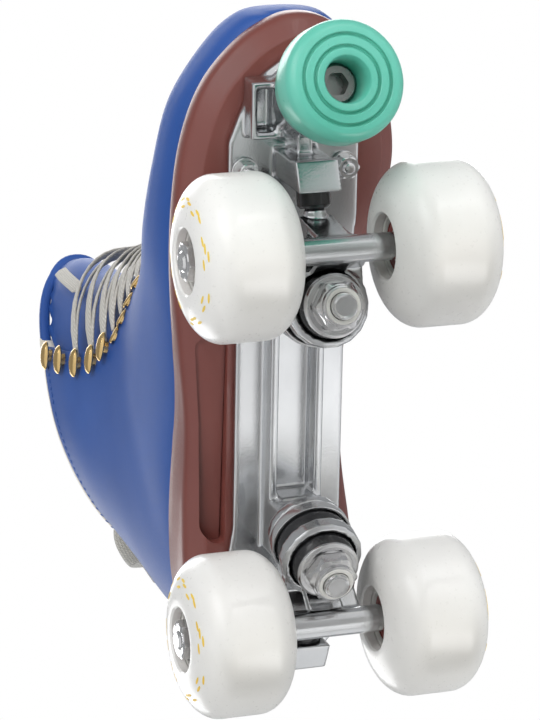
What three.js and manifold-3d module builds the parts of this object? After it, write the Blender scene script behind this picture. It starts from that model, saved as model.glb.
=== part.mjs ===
// Quad roller skate for the right foot: a high laced boot on a cast plate with two trucks.
// Millimetres. +X points to the toe, +Y to the inner side of the foot, +Z up.
// The four wheels stand on z = 0, and the finished group is centred in X.

import * as THREE from 'three';
import { mergeVertices } from 'three/addons/utils/BufferGeometryUtils.js';
import Module from 'manifold-3d';

const wasm = await Module();
wasm.setup();

// ---------------------------------------------------------------- driving sizes

const gap = 0.3; // between two pieces that rest on each other
const runningGap = 0.2; // around a shaft that something turns or slides on
const past = 1; // how far a cutting tool reaches past the face it cuts

// Flat sides on round pieces
const coarse = 10;
const medium = 14;
const fine = 18;
const lastSections = 16; // along the boot
const lastSides = 22; // round the boot

// Wheels
const wheelbase = 147;
const track = 76.8; // between the middles of the two wheels of one axle
const wheelRadius = 31;
const wheelWidth = 40.6;
const treadWidth = 15; // flat part of the rolling face
const wheelMouth = 12.2; // radius of the opening in each wheel face
const hubRadius = 14.8;
const hubWidth = 32;
const bearingRadius = 11;
const bearingWidth = 7;
const bearingSpread = 30; // outer face to outer face of the two bearings in a wheel
const bearingLip = 1.6; // shoulder that each bearing rests against in the hub
const innerRaceRadius = 6.2;
const shieldDepth = 0.4;
const shieldRadius = 9.6;

// Axle and its nuts
const axleRadius = 4;
const axleNutFlats = 13;
const axleNutHeight = 5.6;
const axleNutBore = axleRadius + runningGap;
const axleEnd = 0.8; // how far the axle shows past its nut

// Trucks, measured from the axle to the centre of the kingpin ring
const ringSetback = 25.5;
const ringRise = 15.5;
const steerTilt = THREE.MathUtils.degToRad(15); // slope of the steering axis
const ringRadius = 16;
const ringDrop = 3.6; // steering axis to the top of the ring
const ringThickness = 6.2;
const ringBore = 7;
const ringCupDepth = 3.4; // recess under the ring for the lower cushion
const ringWall = 2.8; // round that recess
const hangerTubeRadius = 5.3;
const armWidth = 13;
const pivotReach = 45; // kingpin to pivot pin tip, along the steering axis
const pivotPinRadius = 3.8;
const pivotCupRadius = 6.4;
const pivotCupLength = 13;
const pivotCupShow = 5.5; // how far the cup shows outside its housing

// Kingpin stack, measured along the kingpin
const kingpinRadius = 5.1;
const kingpinEnd = 27; // below the steering axis
const kingpinDepth = 13; // screwed into the plate
const upperCushionRadius = 14.4;
const upperCushionHeight = 9.6;
const lowerCushionRadius = 12.4;
const lowerCushionWaist = 11.2;
const lowerCushionHeight = 7.6;
const upperWasherThickness = 1.4;
const upperWasherRadius = 16;
const upperWasherRim = 3.6; // how far the rim reaches down round the cushion
const lowerWasherThickness = 2;
const lowerWasherRadius = 12.1;
const kingpinNutFlats = 17;
const kingpinNutHeight = 8;

// Plate
const deckRise = 47.8; // axle height to the underside of the plate flange
const flangeThickness = 3.2;
const waistHalfWidth = 21.8;
const frontHalfWidth = 26;
const rearHalfWidth = 24.5;
const plateFront = 63; // past the front axle
const plateRear = 34; // past the rear axle
const spineDepth = 9;
const railOuter = 10.7;
const railInner = 7.4;
const seatRadius = 15.4;
const seatDepth = 4; // thickness of the round seat under each kingpin boss
const bossInboard = 13; // kingpin at the steering axis to the boss face, towards the middle
const bossOutboard = 10;
const housingHalfWidth = 8.4;
const housingLength = 13;
const toeBlockHalfWidth = 20;
const toeBlockDepth = 9;
const frontBolts = { beyondAxle: 19, spread: 19.8 };
const rearBolts = { beyondAxle: 16, spread: 18.5 };
const mountingBoltRadius = 2.5;
const mountingHeadRadius = 5;
const mountingHeadHeight = 2.4;
const mountingNutFlats = 8;
const mountingNutHeight = 4.6;
const mountingWasherRadius = 5.4;
const mountingWasherHeight = 1;
const mountingBoltShow = 1.8;

// Toe stop, measured along its stem
const toeStopTilt = THREE.MathUtils.degToRad(21);
const toeStopReach = 65.5; // front axle to the middle of the rubbing face, in X
const toeStopDrop = 7; // axle height to the middle of the rubbing face
const toeStopRadius = 22.5;
const toeStopBaseRadius = 18;
const toeStopHeight = 28;
const toeStopMouth = 8.9;
const toeStopMouthDepth = 13;
const toeStopRim = 4; // face to the widest part
const toeStopFaceRadius = 19.6;
const grooveRadii = [12.2, 16.6];
const grooveWidth = 1.5;
const grooveDepth = 1.6;
const stemRadius = 7.6;
const jamNutFlats = 24;
const jamNutHeight = 5.5;
const stemBossRadius = 12.6;
const stemInPlate = 17;
const toeStopStandOff = 1; // rubber to jam nut at the highest setting

// Boot
const bootLength = 262;
const bootWidth = 86;
const shaftHeight = 121; // underside of the boot to the collar at the back
const heelBack = -114;
const soleThickness = 11; // plate to the underside of the boot, under the ball of the foot
const soleBevel = 7;
const soleLip = 2.6; // the sole's edge rises this far round the upper
const upperThickness = 2.2;
const liningThickness = 2.8;
const insoleThickness = 3.6;
const tongueThickness = 4.5;
const laceRadius = 1.5;
const laceLift = 3; // the lace bows up this far between its holes
const heelRise = 13; // underside of the boot at the heel, above that under the ball
const waistRise = 11;
const archRise = 3.5;
const flareStart = 0.8; // share of the boot's stations where that lean begins
const tongueFlare = 15; // how far the tongue's top leans forward of the shaft
const throatFrom = 96; // along the instep from the tip of the toe to the lowest lace
const throatHalfAngle = 12; // degrees round the last from the instep line, at the lowest lace
const collarHalfAngle = 65; // the same at the collar
const throatOpens = 0.83; // share of the boot's stations where the throat is fully open
const laceRows = 8;
const lacePitch = 17; // along the instep
const pullLoopWidth = 13;
const pullLoopThickness = 1.8;
const pullLoopOut = 13; // how far the loop stands out behind the strap
const pullLoopHeight = 36; // above the sewn part
const pullLoopSewn = 24; // length of the strap sewn to the collar

// ---------------------------------------------------------------- worked-out places

const axleHeight = wheelRadius;
const deckUnderside = axleHeight + deckRise;
const deckTop = deckUnderside + flangeThickness;
const soleBottom = deckTop + gap;
const bootBase = soleBottom + soleThickness;
const axleX = wheelbase / 2;
const axleNutFace = track / 2 + bearingSpread / 2 + gap;
const hubEnd = track / 2 - bearingSpread / 2 - gap;
const upperCushionLow = gap - ringDrop;
const upperCushionHigh = upperCushionLow + upperCushionHeight;
const seatHeight = upperCushionHigh + upperWasherThickness + 2 * gap;
const ringFloor = ringDrop + ringThickness;
const lowerCushionTop = ringFloor - ringCupDepth + gap;
const washerDrop = lowerCushionTop + lowerCushionHeight + gap;
const nutDrop = washerDrop + lowerWasherThickness + gap;
const boltBore = mountingBoltRadius + gap;
const pivotCupFloor = 4; // rubber past the tip of the pivot pin
const pivotCupLow = pivotReach + pivotCupFloor - pivotCupLength;
const saddleTop = pivotReach - 16; // where the web from the axle meets the pivot arm

// ---------------------------------------------------------------- shape helpers

// Joins the vertices that faces share, drops faces of no area and turns the faces outwards.
function closed(geometry) {
  const bare = geometry.clone();
  bare.deleteAttribute('normal');
  bare.deleteAttribute('uv');
  const merged = mergeVertices(bare, 1e-4);
  const position = merged.getAttribute('position');
  const index = merged.getIndex().array;
  const faces = [];
  let volume = 0;
  const [a, b, c] = [new THREE.Vector3(), new THREE.Vector3(), new THREE.Vector3()];
  for (let i = 0; i < index.length; i += 3) {
    const [p, q, r] = [index[i], index[i + 1], index[i + 2]];
    if (p === q || q === r || r === p) continue;
    faces.push([p, q, r]);
    a.fromBufferAttribute(position, p);
    b.fromBufferAttribute(position, q);
    c.fromBufferAttribute(position, r);
    volume += a.dot(b.cross(c));
  }
  const outward = volume < 0 ? faces.map(([p, q, r]) => [p, r, q]) : faces;
  merged.setIndex(outward.flat());
  merged.computeVertexNormals();
  return merged;
}

function solidOf(geometry) {
  const shape = closed(geometry);
  const vertProperties = new Float32Array(shape.getAttribute('position').array);
  const triVerts = new Uint32Array(shape.getIndex().array);
  return new wasm.Manifold(new wasm.Mesh({ numProp: 3, vertProperties, triVerts }));
}

function geometryOf(solid) {
  const mesh = solid.getMesh();
  const geometry = new THREE.BufferGeometry();
  const position = new Float32Array(mesh.numVert * 3);
  for (let i = 0; i < mesh.numVert; i += 1) {
    for (let k = 0; k < 3; k += 1) position[3 * i + k] = mesh.vertProperties[mesh.numProp * i + k];
  }
  geometry.setAttribute('position', new THREE.BufferAttribute(position, 3));
  geometry.setIndex(Array.from(mesh.triVerts));
  geometry.computeVertexNormals();
  return geometry;
}

const joined = (...geometries) => geometries.map(solidOf).reduce((sum, next) => sum.add(next));
const cutBy = (solid, ...geometries) => geometries.map(solidOf).reduce((rest, next) => rest.subtract(next), solid);

// A profile of [radius, height] pairs turned about Z.
function turned(profile, sides) {
  const points = profile.map(([radius, height]) => new THREE.Vector2(radius, height));
  return new THREE.LatheGeometry(points, sides).rotateX(Math.PI / 2);
}

// A straight round bar along Z, which may taper.
function bar(lowRadius, highRadius, low, high, sides) {
  const shape = new THREE.CylinderGeometry(highRadius, lowRadius, high - low, sides);
  return shape.rotateX(Math.PI / 2).translate(0, 0, (low + high) / 2);
}

// The same bar laid along Y, or along X.
const barAlongY = (radius, low, high, sides) => bar(radius, radius, low, high, sides).rotateX(-Math.PI / 2);
const barAlongX = (low, high, from, to, sides) => bar(low, high, from, to, sides).rotateY(Math.PI / 2);

function hexagon(flats, low, high) {
  return bar(flats / Math.sqrt(3), flats / Math.sqrt(3), low, high, 6);
}

function block(x0, x1, y0, y1, z0, z1) {
  const box = new THREE.BoxGeometry(x1 - x0, y1 - y0, z1 - z0);
  return box.translate((x0 + x1) / 2, (y0 + y1) / 2, (z0 + z1) / 2);
}

const outline = (points) => new THREE.Shape(points.map(([x, y]) => new THREE.Vector2(x, y)));

// An outline in plan, given a height.
function slab(points, low, high) {
  const settings = { depth: high - low, bevelEnabled: false };
  return new THREE.ExtrudeGeometry(outline(points), settings).translate(0, 0, low);
}

// An outline in the XZ plane, given a width across Y.
function sidePlate(points, right, left) {
  const settings = { depth: left - right, bevelEnabled: false };
  return new THREE.ExtrudeGeometry(outline(points), settings).rotateX(Math.PI / 2).translate(0, left, 0);
}

// A closed skin through rings of points, with flat ends.
function skin(rings) {
  const position = [];
  const index = [];
  const sides = rings[0].length;
  rings.flat().forEach((point) => position.push(point.x, point.y, point.z));
  for (let k = 0; k + 1 < rings.length; k += 1) {
    for (let i = 0; i < sides; i += 1) {
      const [a, b] = [k * sides + i, k * sides + ((i + 1) % sides)];
      index.push(a, b, b + sides, a, b + sides, a + sides);
    }
  }
  const capEnd = (ring, first, flip) => {
    const faces = endFaces(ring);
    faces.forEach(([a, b, c]) => index.push(first + a, first + (flip ? c : b), first + (flip ? b : c)));
  };
  capEnd(rings[0], 0, true);
  capEnd(rings.at(-1), (rings.length - 1) * sides, false);
  const geometry = new THREE.BufferGeometry();
  geometry.setAttribute('position', new THREE.Float32BufferAttribute(position, 3));
  geometry.setIndex(index);
  return geometry;
}

// Triangles that fill a flat ring, wound the way the ring runs.
function endFaces(ring) {
  const middle = ring.reduce((sum, point) => sum.add(point), new THREE.Vector3()).divideScalar(ring.length);
  const normal = new THREE.Vector3();
  ring.forEach((point, i) => {
    const next = ring[(i + 1) % ring.length];
    normal.add(point.clone().sub(middle).cross(next.clone().sub(middle)));
  });
  normal.normalize();
  const across = ring[0].clone().sub(middle).normalize();
  const up = normal.clone().cross(across);
  const flat = ring.map((point) => {
    const arm = point.clone().sub(middle);
    return new THREE.Vector2(arm.dot(across), arm.dot(up));
  });
  return THREE.ShapeUtils.triangulateShape(flat, []);
}

// ---------------------------------------------------------------- finishes

const finish = (color, roughness, metalness) => ({ color, roughness, metalness });
const finishes = {
  castAluminium: finish(0xc9cbcd, 0.22, 1),
  steel: finish(0xb8babd, 0.28, 1),
  urethane: finish(0xe9e9e4, 0.35, 0),
  nylon: finish(0xdcdcd6, 0.45, 0),
  shield: finish(0x5a1d18, 0.4, 0.3),
  blackRubber: finish(0x151515, 0.5, 0),
  mintRubber: finish(0x69c8af, 0.35, 0),
  mouldedSole: finish(0x733e37, 0.32, 0),
  microfibre: finish(0x2a50a3, 0.75, 0),
  lining: finish(0xe4dfd0, 0.9, 0),
  webbing: finish(0xdedcd2, 0.9, 0),
};

function piece(name, geometry, look) {
  const mesh = new THREE.Mesh(geometry, new THREE.MeshStandardMaterial(finishes[look]));
  mesh.name = name;
  return mesh;
}

const turnedPiece = (name, geometry, look) => piece(name, closed(geometry), look);
const builtPiece = (name, solid, look) => piece(name, geometryOf(solid), look);

// ---------------------------------------------------------------- wheels

function tyreShape() {
  const half = wheelWidth / 2;
  const shoulder = half - treadWidth / 2; // axial length of the rounded corner
  const seat = hubRadius + gap;
  const seatEnd = hubWidth / 2 + gap;
  const corner = [];
  const cornerSteps = 3;
  for (let i = 0; i <= cornerSteps; i += 1) {
    const angle = (i / cornerSteps) * (Math.PI / 2);
    const radius = wheelRadius - (wheelRadius - wheelMouth) * (1 - Math.cos(angle));
    corner.push([radius, treadWidth / 2 + shoulder * Math.sin(angle)]);
  }
  const bottom = corner.map(([radius, height]) => [radius, -height]).reverse();
  const bore = [[wheelMouth, seatEnd], [seat, seatEnd], [seat, -seatEnd], [wheelMouth, -seatEnd]];
  return turned([...bottom, ...corner, ...bore, bottom[0]], fine);
}

function hubShape() {
  const half = hubWidth / 2;
  const seat = bearingRadius + gap / 2;
  const shelf = bearingSpread / 2 - bearingWidth - gap;
  const bore = bearingRadius - bearingLip;
  const inside = [[seat, half], [seat, shelf], [bore, shelf], [bore, -shelf], [seat, -shelf], [seat, -half]];
  return turned([[hubRadius, -half], [hubRadius, half], ...inside, [hubRadius, -half]], medium);
}

function bearingShape() {
  const bore = axleRadius + runningGap;
  const half = bearingWidth / 2;
  const face = [[bearingRadius, half], [shieldRadius, half], [shieldRadius, half - shieldDepth]];
  const races = [...face, [innerRaceRadius, half - shieldDepth], [innerRaceRadius, half], [bore, half]];
  return turned([...races, [bore, -half], [bearingRadius, -half], races[0]], medium);
}

function wheel(name, side) {
  const group = new THREE.Group();
  const laid = (shape, y) => closed(shape.rotateX(-Math.PI / 2).translate(0, y, 0));
  const bearingOffset = (bearingSpread - bearingWidth) / 2;
  group.add(
    piece(`${name}_tyre`, laid(tyreShape(), 0), 'urethane'),
    piece(`${name}_hub`, laid(hubShape(), 0), 'nylon'),
    piece(`${name}_inner_bearing`, laid(bearingShape(), -side * bearingOffset), 'shield'),
    piece(`${name}_outer_bearing`, laid(bearingShape(), side * bearingOffset), 'shield'),
  );
  group.position.y = (side * track) / 2;
  return group;
}

function axleNut(name, side) {
  const body = joined(hexagon(axleNutFlats, 0, axleNutHeight));
  const bored = cutBy(body, bar(axleNutBore, axleNutBore, -past, axleNutHeight + past, coarse));
  const mesh = builtPiece(`${name}_axle_nut`, bored, 'steel');
  mesh.rotation.x = -side * (Math.PI / 2);
  mesh.position.y = side * axleNutFace;
  return mesh;
}

// ---------------------------------------------------------------- trucks
// A truck is drawn with X pointing away from the middle of the skate. The stack group inside
// it has its origin in the kingpin ring, X along the steering axis and Z up the kingpin.

const axleInStack = {
  x: ringSetback * Math.cos(steerTilt) - ringRise * Math.sin(steerTilt),
  z: -ringSetback * Math.sin(steerTilt) - ringRise * Math.cos(steerTilt),
};

function hangerShape() {
  const axle = axleInStack;
  const tube = barAlongY(hangerTubeRadius, -hubEnd, hubEnd, medium).translate(axle.x, 0, axle.z);
  const chamfer = 1.2;
  const ring = turned([[0, -ringFloor], [ringRadius - chamfer, -ringFloor],
    [ringRadius, -ringFloor + chamfer], [ringRadius, -ringDrop], [0, -ringDrop]], fine);
  const armStart = ringRadius + 6;
  const armEnd = pivotCupLow - 1;
  const arm = barAlongX(pivotPinRadius + 2.4, pivotPinRadius + 0.6, armStart, armEnd, coarse);
  const pin = barAlongX(pivotPinRadius, pivotPinRadius, armEnd - 0.01, pivotReach - 3, coarse);
  const tip = barAlongX(pivotPinRadius, pivotPinRadius * 0.55, pivotReach - 3 - 0.01, pivotReach, coarse);
  const spur = sidePlate([
    [ringRadius - 5, -ringDrop - 0.4],
    [ringRadius + 0.3, -ringDrop - 0.4],
    [armStart, pivotPinRadius - 1.4],
    [saddleTop, pivotPinRadius + 1.2],
    [saddleTop + 4.5, 0],
    [axle.x + hangerTubeRadius, axle.z + 1],
    [axle.x, axle.z - hangerTubeRadius + 0.4],
    [axle.x - hangerTubeRadius + 1, axle.z + 1],
    [ringRadius - 5, -ringFloor + 0.5],
  ], -armWidth / 2, armWidth / 2);
  const webHalf = ringRadius - 2;
  const web = sidePlate([
    [ringRadius - 9, -ringDrop - 0.8],
    [ringRadius + 0.6, -ringDrop - 0.8],
    [axle.x + 3.5, axle.z + 3],
    [axle.x - 2, axle.z],
    [ringRadius - 3, -ringFloor + 0.4],
    [ringRadius - 9, -ringFloor + 0.6],
  ], -webHalf, webHalf);
  const lean = Math.atan2(-axle.z, saddleTop - axle.x);
  const saddle = slab(saddleOutline(), -2.6, 2.6);
  saddle.rotateY(-lean).translate(axle.x, 0, axle.z);
  const body = joined(tube, ring, arm, pin, tip, spur, web, saddle);
  const recess = ringRadius - ringWall;
  return cutBy(
    body,
    bar(ringBore, ringBore, -ringFloor, past, medium),
    bar(recess, recess, -ringFloor - 12, -ringFloor + ringCupDepth, fine),
    barAlongY(axleRadius + gap, -hubEnd - past, hubEnd + past, medium).translate(axle.x, 0, axle.z),
  );
}

// The web between the axle tube and the pivot arm, wide at the tube and hollow-sided.
function saddleOutline() {
  const length = Math.hypot(axleInStack.z, saddleTop - axleInStack.x);
  const [wide, narrow] = [hubEnd - 5, armWidth / 2 - 1];
  const side = [];
  const steps = 5;
  for (let i = 0; i <= steps; i += 1) {
    const along = i / steps;
    side.push([along * length, narrow + (wide - narrow) * (1 - along) ** 2.6]);
  }
  return [...side, ...side.map(([x, y]) => [x, -y]).reverse()];
}

function cushionShape(low, high, lowRadius, highRadius) {
  const bore = kingpinRadius + gap;
  return turned([[bore, low], [lowRadius, low], [highRadius, high], [bore, high], [bore, low]], fine);
}

// The upper washer is a cup whose rim reaches down round the cushion.
function upperWasherShape() {
  const bore = kingpinRadius + gap;
  const face = upperCushionHigh + gap;
  const back = face + upperWasherThickness;
  const inner = upperWasherRadius - 1.1;
  return turned([[bore, face], [inner, face], [inner, face - upperWasherRim],
    [upperWasherRadius, face - upperWasherRim], [upperWasherRadius, back - 0.7],
    [upperWasherRadius - 0.7, back], [bore, back], [bore, face]], fine);
}

// The lower washer is a flat plate with its edge turned a little towards the cushion.
function lowerWasherShape() {
  const bore = kingpinRadius + gap;
  const [face, back] = [-washerDrop, -washerDrop - lowerWasherThickness];
  return turned([[bore, back], [lowerWasherRadius - 1, back], [lowerWasherRadius, back + 0.8],
    [lowerWasherRadius, face], [bore, face], [bore, back]], fine);
}

function kingpinNutShape() {
  const collar = kingpinNutHeight * 0.25;
  const bottom = -nutDrop - kingpinNutHeight;
  const body = joined(
    hexagon(kingpinNutFlats, bottom + collar, -nutDrop),
    bar(kingpinNutFlats * 0.42, kingpinNutFlats * 0.48, bottom, bottom + collar + 0.01, medium),
  );
  const bore = kingpinRadius + runningGap;
  return cutBy(body, bar(bore, bore, bottom - past, -nutDrop + past, coarse));
}

function kingpinShape() {
  const [top, end] = [seatHeight + kingpinDepth, -kingpinEnd];
  return turned([[0, end], [kingpinRadius - 1, end], [kingpinRadius, end + 1], [kingpinRadius, top - 1],
    [kingpinRadius - 1, top], [0, top]], coarse);
}

function pivotCupShape() {
  const bore = pivotPinRadius + runningGap + 0.1;
  const [low, high] = [pivotCupLow, pivotCupLow + pivotCupLength];
  const floor = pivotReach + gap;
  return turned([[0, high], [pivotCupRadius - 1, high], [pivotCupRadius, high - 1], [pivotCupRadius, low + 1.2],
    [pivotCupRadius - 1.2, low], [bore + 1, low], [bore, low + 1], [bore, floor], [0, floor]], medium);
}

function truck(end, heading) {
  const group = new THREE.Group();
  const stack = new THREE.Group();
  stack.position.set(-ringSetback, 0, ringRise);
  stack.rotation.y = -steerTilt;
  const axleLength = axleNutFace + axleNutHeight + axleEnd;
  const upperCushion = cushionShape(upperCushionLow, upperCushionHigh, upperCushionRadius - 1,
    upperCushionRadius);
  const lowerCushion = cushionShape(-lowerCushionTop - lowerCushionHeight, -lowerCushionTop,
    lowerCushionWaist, lowerCushionRadius);
  stack.add(
    builtPiece(`${end}_hanger`, hangerShape(), 'castAluminium'),
    turnedPiece(`${end}_kingpin`, kingpinShape(), 'steel'),
    builtPiece(`${end}_kingpin_nut`, kingpinNutShape(), 'steel'),
    turnedPiece(`${end}_upper_cushion`, upperCushion, 'blackRubber'),
    turnedPiece(`${end}_upper_washer`, upperWasherShape(), 'steel'),
    turnedPiece(`${end}_lower_cushion`, lowerCushion, 'blackRubber'),
    turnedPiece(`${end}_lower_washer`, lowerWasherShape(), 'steel'),
    turnedPiece(`${end}_pivot_cup`, pivotCupShape().rotateY(Math.PI / 2), 'blackRubber'),
  );
  group.add(stack);
  group.add(turnedPiece(`${end}_axle`, barAlongY(axleRadius, -axleLength, axleLength, coarse), 'steel'));
  for (const [sideName, worldSide] of [['left', 1], ['right', -1]]) {
    const side = worldSide * heading;
    group.add(wheel(`${end}_${sideName}`, side), axleNut(`${end}_${sideName}`, side));
  }
  group.position.set(heading * axleX, 0, axleHeight);
  group.rotation.z = heading > 0 ? 0 : Math.PI;
  return group;
}

// ---------------------------------------------------------------- plate

const mirrored = (half) => [...half, ...half.map(([x, y]) => [x, -y]).reverse()];

function flangeOutline() {
  const front = axleX + plateFront;
  const rear = -axleX - plateRear;
  const half = [
    [rear, 0.01],
    [rear, 11],
    [rear + 3, 16],
    [rear + 12, rearHalfWidth - 1.5],
    [rear + 24, rearHalfWidth],
    [rear + 40, rearHalfWidth],
    [rear + 58, waistHalfWidth],
    [axleX - 46, waistHalfWidth],
    [axleX - 22, frontHalfWidth - 2],
    [axleX, frontHalfWidth],
    [front - 33, frontHalfWidth],
    [front - 22.5, frontHalfWidth - 4],
    [front - 14, frontHalfWidth - 7.5],
    [front - 7, frontHalfWidth - 13.5],
    [front - 1.5, frontHalfWidth - 21.5],
    [front, 0.01],
  ];
  return mirrored(half);
}

// Places a shape drawn in the kingpin stack of the truck at one end into the skate's frame.
function fromStack(geometry, heading) {
  const tilt = new THREE.Matrix4().makeRotationY(-steerTilt).setPosition(-ringSetback, 0, ringRise);
  const turn = new THREE.Matrix4().makeRotationZ(heading > 0 ? 0 : Math.PI);
  turn.setPosition(heading * axleX, 0, axleHeight);
  return geometry.clone().applyMatrix4(turn.multiply(tilt));
}

// Places a shape drawn along the toe-stop stem, with Z up the stem and its face at z = 0.
function fromToeStop(geometry) {
  const place = new THREE.Matrix4().makeRotationY(-toeStopTilt);
  place.setPosition(axleX + toeStopReach, 0, axleHeight - toeStopDrop);
  return geometry.clone().applyMatrix4(place);
}

const jamNutLow = toeStopHeight + toeStopStandOff;
const stemBossLow = jamNutLow + jamNutHeight + gap;

function plateShape() {
  const housingLow = pivotCupLow + pivotCupShow;
  const kingpinX = axleX - ringSetback;
  const bossFace = kingpinX - bossInboard;
  const spineFloor = deckUnderside - spineDepth;
  const ledge = spineFloor - 3;
  const buried = deckTop - 0.5;
  const reach = axleX + plateFront + 40;
  let body = solidOf(slab(flangeOutline(), deckUnderside, deckTop));
  body = body.add(solidOf(block(-bossFace - 2, bossFace + 2, -railOuter, railOuter, spineFloor, buried)));
  body = body.subtract(solidOf(block(-bossFace, bossFace, -railInner, railInner, ledge, deckUnderside)));
  for (const heading of [1, -1]) {
    const ends = [heading * (bossFace + 1.5), heading * (kingpinX + bossOutboard)].sort((a, b) => a - b);
    const lip = [heading * bossFace, heading * kingpinX].sort((a, b) => a - b);
    const neck = joined(
      block(...ends, -railOuter, railOuter, axleHeight + ringRise, buried),
      block(...lip, -railInner, railInner, ledge, buried),
    );
    const flare = seatHeight + seatDepth;
    const below = bar(ringRadius * 2, ringRadius * 2, -ringRadius * 2, seatHeight, fine);
    const cleared = cutBy(neck, fromStack(below, heading));
    const seat = joined(
      bar(seatRadius, seatRadius, seatHeight, flare, fine),
      bar(seatRadius, railOuter - 1, flare - 0.01, flare + 6, fine),
    );
    const seatPlace = cutBy(joined(fromStack(geometryOf(seat), heading)));
    const lean = Math.tan(steerTilt);
    const [under, over] = [-pivotCupRadius - 2.2, 34];
    const housing = sidePlate([
      [housingLow, under],
      [housingLow + housingLength - 0.5, under + 2.2],
      [housingLow + housingLength, 0],
      [housingLow + housingLength + lean * over, over],
      [housingLow + lean * (over - under), over],
    ], -housingHalfWidth, housingHalfWidth);
    body = body.add(cleared).add(seatPlace).add(solidOf(fromStack(housing, heading)));
  }
  const toeBlock = block(axleX + 33, axleX + 55, -toeBlockHalfWidth, toeBlockHalfWidth,
    deckUnderside - toeBlockDepth, buried);
  const boss = bar(stemBossRadius, stemBossRadius + 2, stemBossLow, stemBossLow + 30, fine);
  body = body.add(solidOf(toeBlock)).add(solidOf(fromToeStop(boss)));
  for (const side of [1, -1]) {
    const [near, far] = [side * (stemBossRadius - 1.5), side * (toeBlockHalfWidth - 2)];
    const pocketCut = block(axleX + 36, axleX + 52, Math.min(near, far), Math.max(near, far),
      deckUnderside - toeBlockDepth - past, deckUnderside - 1);
    body = body.subtract(solidOf(pocketCut));
  }
  const rib = block(axleX + 24, axleX + 38, -3, 3, deckUnderside - 12, buried);
  body = body.add(solidOf(rib));
  body = body.subtract(solidOf(block(-reach, reach, -60, 60, deckTop, deckTop + 60)));
  for (const heading of [1, -1]) {
    const kingpinHole = kingpinRadius + gap;
    const socket = pivotCupRadius + gap;
    body = cutBy(
      body,
      fromStack(bar(kingpinHole, kingpinHole, 0, seatHeight + kingpinDepth + gap, medium), heading),
      fromStack(barAlongX(socket, socket, housingLow - 14, pivotCupLow + pivotCupLength + gap, medium), heading),
    );
  }
  for (const { x, y } of mountingPlaces()) {
    const hole = bar(boltBore, boltBore, deckUnderside - past, deckTop + past, coarse);
    body = cutBy(body, hole.translate(x, y, 0));
  }
  const stemHole = stemRadius + runningGap;
  const stemDepth = stemBossLow + stemInPlate + 1;
  return cutBy(body, fromToeStop(bar(stemHole, stemHole, 0, stemDepth, medium)));
}

// ---------------------------------------------------------------- toe stop

function toeStopShape() {
  const grooves = grooveRadii.flatMap((radius) => [
    [radius - grooveWidth / 2, 0],
    [radius - grooveWidth / 2, grooveDepth],
    [radius + grooveWidth / 2, grooveDepth],
    [radius + grooveWidth / 2, 0],
  ]);
  const bore = stemRadius + runningGap;
  return turned([
    [bore, toeStopMouthDepth],
    [toeStopMouth - 1, toeStopMouthDepth],
    [toeStopMouth, 0],
    ...grooves,
    [toeStopFaceRadius, 0],
    [toeStopRadius - 0.8, toeStopRim * 0.45],
    [toeStopRadius, toeStopRim],
    [toeStopRadius, toeStopHeight * 0.5],
    [toeStopRadius - 1, toeStopHeight * 0.6],
    [toeStopBaseRadius + 1, toeStopHeight - 1.5],
    [toeStopBaseRadius, toeStopHeight],
    [bore, toeStopHeight],
    [bore, toeStopMouthDepth],
  ], fine);
}

function stemShape() {
  const top = stemBossLow + stemInPlate;
  const low = toeStopMouthDepth - 1.5;
  const shaft = turned([[0, low], [stemRadius - 1, low], [stemRadius, low + 1], [stemRadius, top - 1],
    [stemRadius - 1, top], [0, top]], medium);
  return cutBy(solidOf(shaft), hexagon(8, low - past, low + 5));
}

function jamNutShape() {
  const bore = stemRadius + runningGap;
  const nut = solidOf(hexagon(jamNutFlats, jamNutLow, jamNutLow + jamNutHeight));
  return cutBy(nut, bar(bore, bore, jamNutLow - past, jamNutLow + jamNutHeight + past, medium));
}

function toeStop() {
  const group = new THREE.Group();
  group.position.set(axleX + toeStopReach, 0, axleHeight - toeStopDrop);
  group.rotation.y = -toeStopTilt;
  group.add(
    turnedPiece('toe_stop', toeStopShape(), 'mintRubber'),
    builtPiece('toe_stop_stem', stemShape(), 'steel'),
    builtPiece('toe_stop_jam_nut', jamNutShape(), 'steel'),
  );
  return group;
}

// ---------------------------------------------------------------- boot
// The last is drawn by stations from the toe over the instep to the collar, at 262 x 86 mm,
// and graded to the boot's own sizes. Each station is a closed section between a point on the
// toe and instep line and a point on the sole and heel line; heights are above the boot's base.

const stations = [
  // instep x, h, sole x, h, half width, sideways shift, squareness of the sole side
  [148.5, 15, 148.5, 4, 7, 2.5, 3],
  [145.5, 27, 145.5, 0.8, 17, 3, 3.2],
  [134, 37, 134, 0, 27.5, 3, 3.2],
  [112, 43, 112, 0, 38.5, 1, 3.2],
  [86, 51, 82, 0, 42.5, 0, 3.2],
  [64, 63, 48, 0, 41, -2.5, 3.2],
  [46, 79, 8, archRise, 37, -3.5, 3.2],
  [33, 97, -36, waistRise, 35.5, -3, 3],
  [26, 112, -76, heelRise, 35, -2, 3],
  [21, 125, -100, heelRise + 2.5, 34.5, -1.5, 2.8],
  [16.5, 137, -112, heelRise + 14, 34, -2.5, 2.6],
  [12, 149, -116, 46, 32.5, -5, 2.4],
  [4, 171, -113, 72, 31, -8.5, 2.1],
  [-4, 193, -109, 98, 30, -12, 1.9],
  [-11, 214, -107, 121, 29.4, -14, 1.8],
  [-21, 238, -107, 146, 30, -16, 1.7],
];
const collar = (stations.length - 2) / (stations.length - 1);
const drawnAt = { length: 262, width: 86, shaft: 121, heel: -114 };
const gradeX = (x) => heelBack + ((x - drawnAt.heel) * bootLength) / drawnAt.length;
const gradeY = (y) => (y * bootWidth) / drawnAt.width;
const gradeZ = (height) => bootBase + (height * shaftHeight) / drawnAt.shaft;

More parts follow.
